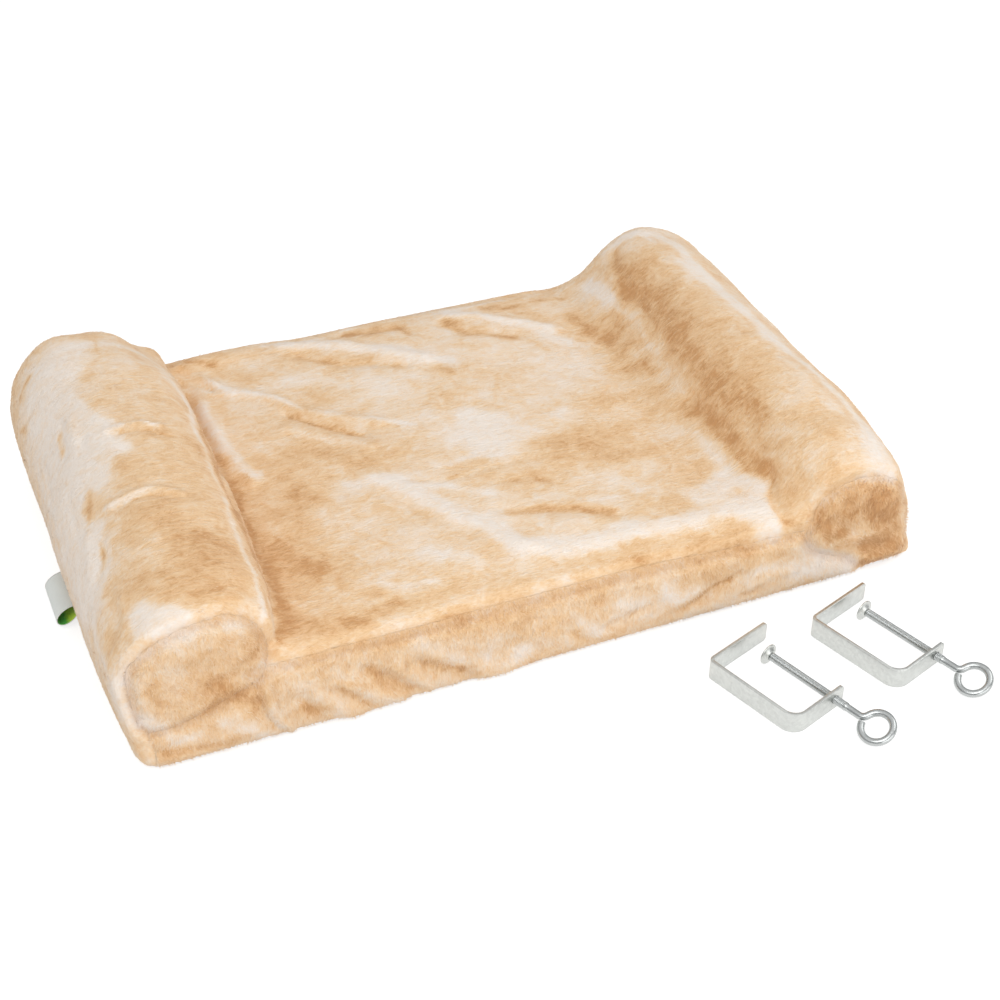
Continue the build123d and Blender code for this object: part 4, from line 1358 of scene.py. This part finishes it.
def plush_material(name, lie, strength):
    """Short pile: lie is the stretch of the strokes by axis."""
    n = material_nodes(name)
    strokes = n.stretched(lie)
    streak = n.noise(strokes, 420, 2.0, 0.6, 0.4)
    fine = n.noise(strokes, 1100, 2.0, 0.6)
    colour = plush_colour(n, (n.swing(streak), 0.55), (n.swing(fine), 0.4))
    height = n.shares((fine, 0.6), (streak, 1.0))
    return n.principled(Base_Color=colour, Roughness=0.92, Normal=n.bump(height, strength, 1.6),
                        Sheen_Weight=0.35, Sheen_Roughness=0.45, Sheen_Tint=SHEEN, Specular_IOR_Level=0.15)


def pile_material(name):
    """The tufts: the cloth's colours, with their painted highlights and shade, and a soft sheen."""
    n = material_nodes(name)
    colour = plush_colour(n, (n.swing(n.noise(n.stretched(), 600, 2.0, 0.6)), 0.3))
    return n.principled(Base_Color=colour, Roughness=0.8, Sheen_Weight=0.3, Sheen_Roughness=0.4,
                        Sheen_Tint=SHEEN, Specular_IOR_Level=0.2)


def simple_cloth(name, colour, dark, weave):
    """Plain weave: two crossing waves, with a little mottling."""
    n = material_nodes(name)
    flat = n.stretched()
    cross = n.math("MULTIPLY", n.wave(flat, weave, 0.4, "X"), n.wave(flat, weave, 0.4, "Y"))
    woven = n.mix(n.shares((cross, 0.6), (n.noise(flat, 40, 3.0), 0.4)), dark, colour)
    return n.principled(Base_Color=woven, Roughness=0.85, Normal=n.bump(cross, 0.5, 0.4), Sheen_Weight=0.2)


def zinc_material(name, tint, roughness):
    """Galvanised steel: small crystals, spangle and fine scratches."""
    n = material_nodes(name)
    plain = n.stretched()
    spangle = n.noise(plain, 130, 3.0, 0.6, 0.4)
    fine = n.noise(plain, 900, 3.0, 0.6)
    scratch = n.noise(n.stretched((1, 1, 0.12)), 420, 2.0, 0.7)
    crystals = n.add("ShaderNodeTexVoronoi", {"Vector": plain, "Scale": 520.0}, feature="F1").outputs["Color"]
    shine = n.shares((spangle, 0.45), (fine, 0.2), (crystals, 0.35))
    dark = tuple(0.66 * c for c in tint[:3]) + (1,)
    rough = n.math("ADD", roughness - 0.10, n.shares((spangle, 0.12), (scratch, 0.12)))
    return n.principled(Base_Color=n.mix(shine, dark, tint), Metallic=1.0, Roughness=rough,
                        Normal=n.bump(n.math("ADD", scratch, fine), 0.12, 0.15))


def satin_material(name, stops, low, high):
    """Printed satin: a colour that runs across the ribbon, with a fine weave."""
    n = material_nodes(name)
    flat = n.stretched()
    across = n.add("ShaderNodeSeparateXYZ", {"Vector": flat}).outputs["X"]
    printed = n.add("ShaderNodeMapRange", {"Value": across, "From Min": low, "From Max": high})
    soft = n.shares((printed.outputs["Result"], 1.0), (n.swing(n.noise(flat, 160, 3.0)), 0.35))
    weave = n.wave(flat, 1400, 0.3, "Y")
    colour = n.mix(n.shares((weave, 0.12)), n.ramp(soft, stops), srgb(200, 205, 200))
    return n.principled(Base_Color=colour, Roughness=0.5, Normal=n.bump(weave, 0.25, 0.1), Sheen_Weight=0.2)


def moulded_material(name, colour, dark, roughness, metallic=0.0):
    """Nylon or cast metal: faint mottling, worn highlights and a fine grain."""
    n = material_nodes(name)
    mottle = n.noise(n.stretched(), 240, 4.0, 0.6)
    grain = n.noise(n.stretched(), 2600, 2.0, 0.5)
    rough = n.math("ADD", roughness - 0.08, n.shares((mottle, 0.16)))
    mottled = n.mix(n.shares((mottle, 0.7), (grain, 0.3)), dark, colour)
    return n.principled(Base_Color=mottled, Metallic=metallic, Roughness=rough, Normal=n.bump(grain, 0.15, 0.1))


def board_material(name):
    """Sanded softwood board: long grain lines along X, with paler early wood."""
    n = material_nodes(name)
    along = n.stretched((0.06, 1.0, 1.0))
    grain = n.shares((n.noise(along, 260, 4.0, 0.6, 1.2), 0.75), (n.noise(along, 1900, 2.0, 0.6), 0.25))
    stops = [(0.30, srgb(176, 132, 84)), (0.50, srgb(208, 170, 120)), (0.72, srgb(226, 196, 150))]
    colour = n.ramp(grain, stops)
    return n.principled(Base_Color=colour, Roughness=0.66, Normal=n.bump(grain, 0.25, 0.2))


PILE_CLOTH = pile_material("pile_tufts")
PLUSH_TOP = plush_material("plush_brushed_across", (0.30, 1.0, 0.30), 0.55)
PLUSH_END = plush_material("plush_brushed_down", (1.0, 1.0, 0.28), 0.75)
LINING = simple_cloth("lining_cloth", srgb(196, 176, 150), srgb(160, 140, 116), 260)
TAPE = simple_cloth("woven_tape", srgb(205, 172, 132), srgb(165, 132, 96), 420)
THREAD = simple_cloth("sewing_thread", srgb(240, 226, 200), srgb(214, 194, 162), 1500)
FOAM = simple_cloth("open_foam", srgb(236, 228, 205), srgb(206, 196, 170), 800)
ZINC = zinc_material("zinc_plate", srgb(226, 228, 224), 0.34)
ZINC_SCREW = zinc_material("zinc_screw", srgb(204, 207, 206), 0.26)
NYLON = moulded_material("zip_nylon", srgb(214, 184, 146), srgb(188, 156, 118), 0.42)
ZIP_METAL = moulded_material("zip_cast", srgb(196, 190, 178), srgb(150, 144, 132), 0.34, 1.0)
BOARD = board_material("board_wood")
LABEL_OUTSIDE = satin_material("label_outside", [(0.0, srgb(226, 230, 226)), (0.5, srgb(214, 219, 216)),
                                                 (1.0, srgb(205, 209, 207))], -294 * MM, -280 * MM)
LABEL_INSIDE = satin_material("label_inside", [(0.0, srgb(34, 150, 44)), (0.40, srgb(58, 168, 34)),
                                               (0.65, srgb(186, 222, 30)), (1.0, srgb(196, 226, 50))],
                              -296 * MM, -283 * MM)


def dress(obj, *materials):
    obj.data.materials.clear()
    for material in materials:
        obj.data.materials.append(material)


for key, panel in panels.items():
    dress(panel, PLUSH_TOP if key == "top" else PLUSH_END)
    dress(piles[key], PILE_CLOTH)
for foam in foams:
    dress(foam, FOAM)
for name in ("zip_teeth_upper", "zip_teeth_lower"):
    dress(nodes[name], NYLON)
for name in ("zip_slider", "zip_pull"):
    dress(nodes[name], ZIP_METAL)
dress(nodes["base_board"], BOARD)

# Clamps


def smooth_by_angle(obj, degrees):
    """Smooth shading, with the edges sharper than an angle kept crisp."""
    bm = bmesh.new()
    bm.from_mesh(obj.data)
    for face in bm.faces:
        face.smooth = True
    for edge in bm.edges:
        edge.smooth = len(edge.link_faces) < 2 or edge.calc_face_angle() < math.radians(degrees)
    bm.to_mesh(obj.data)
    bm.free()


def bevelled(obj, width, segments, degrees):
    bevel = obj.modifiers.new("soft_edges", "BEVEL")
    bevel.width = width
    bevel.segments = segments
    bevel.limit_method = "ANGLE"
    bevel.angle_limit = math.radians(degrees)
    applied(obj)
    smooth_by_angle(obj, degrees)


def circle_angles(count):
    return np.arange(count) / count * 2 * math.pi


def rings_to_mesh(name, rings):
    """A capped tube from a list of rings with the same number of points each."""
    rows, around = rings.shape[:2]
    faces = grid_faces(rows, around, closed_columns=True)
    faces.append(tuple(reversed(range(around))))
    faces.append(tuple((rows - 1) * around + j for j in range(around)))
    obj = mesh_object(name, rings.reshape(-1, 3), faces)
    face_outward(obj.data)
    return obj


# The clamps lie turned on the floor by the jaw angle, with each eye tilted about its screw.
JAW = math.radians(19.6)
TILT = math.radians(25.0)
LEG_WAY = np.array([math.cos(JAW), math.sin(JAW), 0.0])
WEB_WAY = np.array([math.sin(JAW), -math.cos(JAW), 0.0])
EYE_SIDE = LEG_WAY * math.cos(TILT) + np.array([0.0, 0.0, 1.0]) * math.sin(TILT)
EYE_NORMAL = np.cross(EYE_SIDE, WEB_WAY)


def clamp_strip(letter):
    """The bent strip, with its edges broken."""
    source = nodes["clamp_frame_" + letter]
    strip = bpy.data.objects.new("clamp_strip_" + letter, source.data.copy())
    scene.collection.objects.link(strip)
    strip.matrix_world = source.matrix_world.copy()
    bm = bmesh.new()
    bm.from_mesh(strip.data)
    bmesh.ops.remove_doubles(bm, verts=bm.verts, dist=1e-6)
    bmesh.ops.dissolve_limit(bm, angle_limit=math.radians(0.8), verts=bm.verts, edges=bm.edges)
    bm.to_mesh(strip.data)
    bm.free()
    bevelled(strip, 0.38 * MM, 2, 50)
    return strip


# The eye screw, in millimetres from its disc: the eye's radius and centre, the bend of its neck, the
# wire and thread radii and the pitch, and where the thread begins and ends.
EYE, EYE_CENTRE, NECK, WIRE, THREAD_RADIUS, PITCH = 10.2, 90.8, 5.0, 2.5, 2.95, 1.0
THREAD_START, THREAD_END, STEPS_A_TURN = 3.6, 66.0, 7
RIVET = [(1.25, 0.3), (1.25, 1.9), (1.45, 2.9), (1.75, 3.2), (2.05, 3.15), (2.05, 2.0), (3.55, 2.0),
         (3.56, 2.45)]
SHANK = [(66.4, 2.72), (67.4, WIRE), (70, WIRE), (73, WIRE)]


def bolt_path():
    """Places along the wire, across and along, each with its radius, and the thread's first and last."""
    neck_start = EYE_CENTRE - math.sqrt(EYE ** 2 + 2 * NECK * EYE)
    join_angle = math.asin(NECK / (NECK + EYE))
    path = [(0, along, radius) for along, radius in RIVET]
    first = len(path)
    turns = int((THREAD_END - THREAD_START) / PITCH * STEPS_A_TURN)
    path += [(0, THREAD_START + i / STEPS_A_TURN * PITCH, THREAD_RADIUS) for i in range(turns)]
    last = len(path)
    path += [(0, along, radius) for along, radius in SHANK]
    turn = math.pi / 2 - join_angle
    path += [(NECK * (1 - math.cos(turn * t)), neck_start + NECK * math.sin(turn * t), WIRE)
             for t in np.linspace(0, 1, 9)[:-1]]
    open_end = 2 * math.pi - math.radians(15.5)
    path += [(EYE * math.sin(a), EYE_CENTRE - EYE * math.cos(a), WIRE)
             for a in np.linspace(join_angle, open_end, 72)]
    (u0, w0, _), (u1, w1, _) = path[-2:]
    path.append((u1 + (u1 - u0) * 0.2, w1 + (w1 - w0) * 0.2, WIRE * 0.8))
    return np.array(path), first, last


def eye_bolt(name, disc_centre):
    """Rivet head, threaded shank, plain neck and the eye, in one length of wire."""
    path, first, last = bolt_path()
    ways = np.gradient(path[:, :2], axis=0)
    ways[:last + len(SHANK)] = (0, 1)
    ways /= np.linalg.norm(ways, axis=1, keepdims=True)
    angles = circle_angles(20)
    rings = []
    for i, (u, w, radius) in enumerate(path):
        across = EYE_SIDE * ways[i][1] - WEB_WAY * ways[i][0]
        radii = np.full(len(angles), radius)
        if first <= i < last:
            run_in = min(1, (i - first) / 8)
            depth = 0.48 * min(run_in, (last - i) / 10)
            phase = (w / PITCH - angles / (2 * math.pi)) % 1
            radii = radius - depth * np.abs(2 * phase - 1) - 0.30 * (1 - run_in)
        middle = disc_centre + EYE_SIDE * u + WEB_WAY * w
        spokes = np.cos(angles)[:, None] * across + np.sin(angles)[:, None] * EYE_NORMAL
        rings.append(middle + radii[:, None] * spokes)
    bolt = rings_to_mesh(name, np.array(rings) * MM)
    smooth_by_angle(bolt, 62)
    return bolt


# The disc's section in millimetres: out from the screw's middle line, then along it.
DISC_PROFILE = [
    (6.9, 0.0), (5.9, 0.0), (5.55, 0.12), (3.9, 1.55), (3.5, 2.05), (3.2, 2.2), (2.15, 2.2), (2.06, 2.3),
    (2.06, 3.3), (2.15, 3.4), (3.3, 3.4), (3.7, 3.25), (4.2, 2.8), (5.9, 1.35), (6.4, 1.2), (6.9, 1.2),
    (7.2, 1.0), (7.3, 0.6), (7.2, 0.2)]


def swivel_disc(name, disc_centre):
    """The dished pad on the screw's tip, turned with a rolled rim."""
    verts = []
    angles = circle_angles(72)
    for angle in angles:
        way = math.cos(angle) * EYE_SIDE + math.sin(angle) * EYE_NORMAL
        verts += [(disc_centre + way * radius + WEB_WAY * along) * MM for radius, along in DISC_PROFILE]
    faces = grid_faces(len(angles), len(DISC_PROFILE), closed_rows=True, closed_columns=True)
    disc = mesh_object(name, verts, faces)
    face_outward(disc.data)
    smooth_by_angle(disc, 50)
    return disc


# Each clamp's outer corner, and how far its disc stands along the screw from there.
for letter, corner, disc_at in (("a", (84.3, -223.3, 0), 17.5), ("b", (166.4, -212.9, 0), 14.0)):
    middle = np.array(corner) + LEG_WAY * 39.5 + WEB_WAY * disc_at + np.array([0, 0, 7.5])
    for piece, node, body, finish in (
            (clamp_strip(letter), "clamp_frame_", "_strip", ZINC),
            (eye_bolt("eye_bolt_" + letter, middle), "eye_screw_", "_screw", ZINC_SCREW),
            (swivel_disc("swivel_disc_" + letter, middle), "pressure_disc_", "_disc", ZINC)):
        dress(piece, finish)
        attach(piece, "clamp_" + letter + body)
        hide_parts(node + letter)

# Lining, its slits and their bindings

LINING_X, LINING_Y = 265, 160
SLIT_X, SLIT_Y, SLIT_HALF_X, SLIT_HALF_Y = 150, -45, 11.5, 6.5
SLIT_SLACK = 2.5


def lining_sheet():
    """The underside's cloth inside the plush hem, a little slack, with the two slits cut out."""
    slit_sides = [side * SLIT_X + edge for side in (-1, 1) for edge in (-SLIT_HALF_X, SLIT_HALF_X)]
    slit_ends = [SLIT_Y - SLIT_HALF_Y, SLIT_Y + SLIT_HALF_Y]
    xs = np.unique(np.concatenate([np.linspace(-LINING_X, LINING_X, 107), slit_sides]))
    ys = np.unique(np.concatenate([np.linspace(-LINING_Y, LINING_Y, 65), slit_ends]))
    faces = []
    for a, b, c, d in grid_faces(len(xs), len(ys)):
        i, j = divmod(a, len(ys))
        x, y = (xs[i] + xs[i + 1]) / 2, (ys[j] + ys[j + 1]) / 2
        if abs(abs(x) - SLIT_X) > SLIT_HALF_X or abs(y - SLIT_Y) > SLIT_HALF_Y:
            faces.append((a, b, c, d))
    sheet = mesh_object("lining_panel", [(x * MM, y * MM, 0) for x in xs for y in ys], faces)
    keep_largest(sheet)
    co = coords(sheet.data)
    x, y = np.abs(co[:, 0]) / MM, co[:, 1] / MM
    rim = smoothstep(0, 14, np.minimum(LINING_X - x, LINING_Y - np.abs(y)))
    beside = np.minimum(np.maximum(np.abs(x - SLIT_X) - SLIT_HALF_X - SLIT_SLACK, 0), 30)
    beyond = np.maximum(np.abs(y - SLIT_Y) - SLIT_HALF_Y - SLIT_SLACK, 0)
    slack = 0.5 * lumps(co, (0.09, 0.07, 1), 31) + 0.25 * lumps(co, (0.03, 0.04, 1), 32)
    co[:, 2] = (1.0 + slack * rim * smoothstep(0, 14, beside + beyond)) * MM
    set_coords(sheet.data, co)
    thicken(sheet, 0.7 * MM, 1 if sheet.data.polygons[0].normal.z < 0 else -1)
    return sheet


lining = lining_sheet()
dress(lining, LINING)
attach(lining, "lounger")
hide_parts("bottom_panel")


def satin_label():
    """A short length of ribbon folded into a loop, both ends sewn into the left side."""
    root, fold = np.array([-280.8, 18.2]), np.array([-295.6, 6.2])
    middle, half = (root + fold) / 2, np.linalg.norm(fold - root) / 2
    way = (fold - root) / (2 * half)
    across = np.array([way[1], -way[0]])
    turns = np.linspace(0.06, 2 * math.pi - 0.06, 41)
    line = np.array([middle - way * half * math.cos(t) + across * math.sin(t) * 5.6 * (1 - 0.12 * math.cos(t))
                     for t in turns])
    along = np.gradient(line, axis=0)
    outward = np.stack([along[:, 1], -along[:, 0]], 1) / np.linalg.norm(along, axis=1, keepdims=True)
    mid = len(line) // 2
    if (line[mid] - middle) @ outward[mid] < 0:
        outward = -outward
    stations = np.linspace(-22.0, 15.0, 25)
    verts = []
    for shell in (line, line - outward * 0.6):
        for i, y in enumerate(stations):
            ease = 0.6 * (0.35 * math.sin(i * 0.55) + 0.02 * (y + 3.5))
            verts += [(u * MM, y * MM, (w + ease) * MM) for u, w in shell]
    rows, around = len(stations), len(line)
    size = rows * around
    outer, inner = grid_faces(rows, around), grid_faces(rows, around, size)
    rim = []
    for row in (0, rows - 1):
        rim += [(a, a + size, a + 1 + size, a + 1) for a in range(row * around, (row + 1) * around - 1)]
    for end in (0, around - 1):
        starts = range(end, end + (rows - 1) * around, around)
        rim += [(a, a + around, a + around + size, a + size) for a in starts]
    loop = mesh_object("label_satin", verts, outer + inner + rim)
    face_outward(loop.data)
    dress(loop, LABEL_OUTSIDE, LABEL_INSIDE)
    for i, polygon in enumerate(loop.data.polygons):
        polygon.material_index = int(len(outer) <= i < len(outer) + len(inner))
    return loop


# A stitch: places along it as a share of its length, each with its girth.
STITCH = ((-0.5, 0.35), (-0.3, 0.9), (0.0, 1.0), (0.3, 0.9), (0.5, 0.35))
STITCH_SIDES = 6


def stitches(verts, faces, places, length, radius):
    """Short raised stitches: places is a list of (middle, way along, way up), in mm."""
    for middle, way, up in places:
        middle, way, up = (np.asarray(v, float) for v in (middle, way, up))
        side = np.cross(way, up)
        first = len(verts)
        for along, girth in STITCH:
            for angle in circle_angles(STITCH_SIDES):
                spoke = radius * girth * (math.cos(angle) * side + math.sin(angle) * up)
                verts.append((middle + way * along * length + spoke) * MM)
        faces += grid_faces(len(STITCH), STITCH_SIDES, first, closed_columns=True)
        faces.append(tuple(first + k for k in reversed(range(STITCH_SIDES))))
        last = first + (len(STITCH) - 1) * STITCH_SIDES
        faces.append(tuple(last + k for k in range(STITCH_SIDES)))


def slit_path(centre):
    """Places around a slit's edge and the way outward at each, in millimetres."""
    corner, half_x, half_y = 3.2, SLIT_HALF_X - 0.1, SLIT_HALF_Y - 0.1
    path = []
    for sx, sy, start in ((1, 1, 0), (-1, 1, 90), (-1, -1, 180), (1, -1, 270)):
        for a in np.radians(np.arange(start, start + 91, 10)):
            path.append((centre + sx * (half_x - corner) + corner * math.cos(a),
                         SLIT_Y + sy * (half_y - corner) + corner * math.sin(a), math.cos(a), math.sin(a)))
        if start in (0, 180):
            straight, edge = half_x - corner, SLIT_Y + sy * half_y
            path += [(centre - sx * straight * share, edge, 0, sy) for share in (-0.6, -0.2, 0.2, 0.6)]
        else:
            straight, edge = half_y - corner, centre + sx * half_x
            path += [(edge, SLIT_Y - sy * straight * share, sx, 0) for share in (-0.4, 0, 0.4)]
    return path


def softened(value):
    """A sine or cosine pushed outward, so that an oval gets squarer shoulders."""
    return math.copysign(abs(value) ** 0.7, value)


def slit_tapes():
    """Folded tape around each slit, with a row of stitches through it."""
    verts, faces, stitch_places = [], [], []
    girth = circle_angles(14)
    for centre in (-SLIT_X, SLIT_X):
        path = slit_path(centre)
        faces += grid_faces(len(path), len(girth), len(verts), closed_rows=True, closed_columns=True)
        for i, (x, y, nx, ny) in enumerate(path):
            swell = 0.9 + 0.10 * math.sin(i * 1.9)
            for a in girth:
                out, up = 2.45 * softened(math.cos(a)), swell * softened(math.sin(a))
                verts.append(((x + nx * out) * MM, (y + ny * out) * MM, (1.02 + up) * MM))
        for x, y, nx, ny in path[::2]:
            stitch_places.append(((x + nx * 0.9, y + ny * 0.9, 0.12), (-ny, nx, 0), (0, 0, -1)))
    tape_faces = len(faces)
    stitches(verts, faces, stitch_places, 2.0, 0.28)
    obj = mesh_object("slit_tapes", verts, faces)
    face_outward(obj.data)
    dress(obj, TAPE, THREAD)
    for i, polygon in enumerate(obj.data.polygons):
        polygon.material_index = int(i >= tape_faces)
    return obj


def zip_tape(name, side):
    """Woven tape behind the band's edge, a little rippled between its stitches."""
    xs, rows = np.linspace(-180, 180, 181), np.linspace(0.15, 11.1, 9)
    zip_middle = (ZIP_LOW + ZIP_HIGH) / 2
    verts = []
    for x in xs:
        for row in rows:
            ripple = 0.14 * math.sin(x / 7.5 + side) * (row / 11) + 0.08 * math.sin(x / 3.1)
            depth = PULL_BACK - 4.55 + ripple * smoothstep(1, 4, row)
            verts.append((x * MM, depth * MM, (zip_middle + side * row) * MM))
    tape = mesh_object(name, verts, grid_faces(len(xs), len(rows)))
    thicken(tape, 0.7 * MM, 0)
    face_outward(tape.data)
    dress(tape, TAPE)
    return tape


for piece, node, name in ((satin_label(), "label_loop", "label"), (slit_tapes(), "slit_bindings", "binding"),
                          (zip_tape("zip_tape_upper_woven", 1), "zip_tape_upper", "zip_tape"),
                          (zip_tape("zip_tape_lower_woven", -1), "zip_tape_lower", "zip_tape")):
    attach(piece, "lounger")
    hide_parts(node)

# Stage, light and camera

WHITE = (1, 1, 1, 1)


def pale_floor():
    """A floor that is white where it is lit, and takes soft shadows."""
    half, below = 6, -0.4 * MM
    corners = [(-half, -half, below), (half, -half, below), (half, half, below), (-half, half, below)]
    floor = mesh_object("floor", corners, [(0, 1, 2, 3)])
    n = material_nodes("pale_floor")
    path = n.add("ShaderNodeLightPath").outputs
    mirrored = n.math("MAXIMUM", path["Is Camera Ray"], path["Is Glossy Ray"])
    seen = n.math("MAXIMUM", mirrored, path["Is Transmission Ray"])
    diffuse = n.add("ShaderNodeBsdfDiffuse", {"Color": (0.45, 0.45, 0.45, 1)})
    plain = n.add("ShaderNodeBsdfDiffuse", {"Color": (0.80, 0.80, 0.80, 1)})
    glow = n.add("ShaderNodeEmission", {"Color": WHITE, "Strength": 0.72})
    both = n.add("ShaderNodeAddShader", {0: diffuse.outputs[0], 1: glow.outputs[0]})
    mixed = n.add("ShaderNodeMixShader", {"Fac": seen, 1: plain.outputs[0], 2: both.outputs[0]})
    dress(floor, n.surface(mixed))


def studio_world():
    """White to the camera, soft light on the object, and a darker low sky for its mirrors."""
    n = Nodes(bpy.data.worlds.new("studio"), "ShaderNodeOutputWorld")
    path = n.add("ShaderNodeLightPath").outputs
    soft_light = n.add("ShaderNodeBackground", {"Color": WHITE, "Strength": 0.605})
    white = n.add("ShaderNodeBackground", {"Color": WHITE, "Strength": 1.0})
    sky = n.add("ShaderNodeTexCoord").outputs["Generated"]
    height = n.add("ShaderNodeSeparateXYZ", {"Vector": sky}).outputs["Z"]
    dim = n.ramp(height, [(0.0, (0.42, 0.43, 0.44, 1)), (0.45, (0.40, 0.41, 0.42, 1)), (1.0, WHITE)])
    room = n.add("ShaderNodeBackground", {"Color": dim})
    lit = n.add("ShaderNodeMixShader",
                {"Fac": path["Is Glossy Ray"], 1: soft_light.outputs[0], 2: room.outputs[0]})
    seen = n.math("MAXIMUM", path["Is Camera Ray"], path["Is Transmission Ray"])
    return n.surface(n.add("ShaderNodeMixShader", {"Fac": seen, 1: lit.outputs[0], 2: white.outputs[0]}))


def area_light(name, place, target, size, power):
    data = bpy.data.lights.new(name, "AREA")
    data.shape = "RECTANGLE"
    data.size, data.size_y = size
    data.energy = power
    lamp = bpy.data.objects.new(name, data)
    lamp.location = place
    lamp.rotation_euler = (Vector(target) - Vector(place)).to_track_quat("-Z", "Y").to_euler()
    scene.collection.objects.link(lamp)


pale_floor()
scene.world = studio_world()
area_light("key", (-0.7, -0.9, 1.7), (0, 0, 0), (1.2, 1.2), 11)
area_light("fill", (1.3, -0.4, 1.3), (0, 0, 0), (1.2, 1.2), 6)
area_light("front", (0.45, -2.1, 0.55), (0, 0, 0.03), (2.2, 1.0), 12.5)

camera_data = bpy.data.cameras.new("camera")
camera_data.sensor_width = SENSOR
camera_data.lens = SENSOR * FOCAL / PICTURE
camera = bpy.data.objects.new("camera", camera_data)
camera.matrix_world = Matrix.Translation(camera_place) @ camera_turn.to_4x4()
scene.collection.objects.link(camera)
scene.camera = camera
scene.view_settings.view_transform = "Standard"
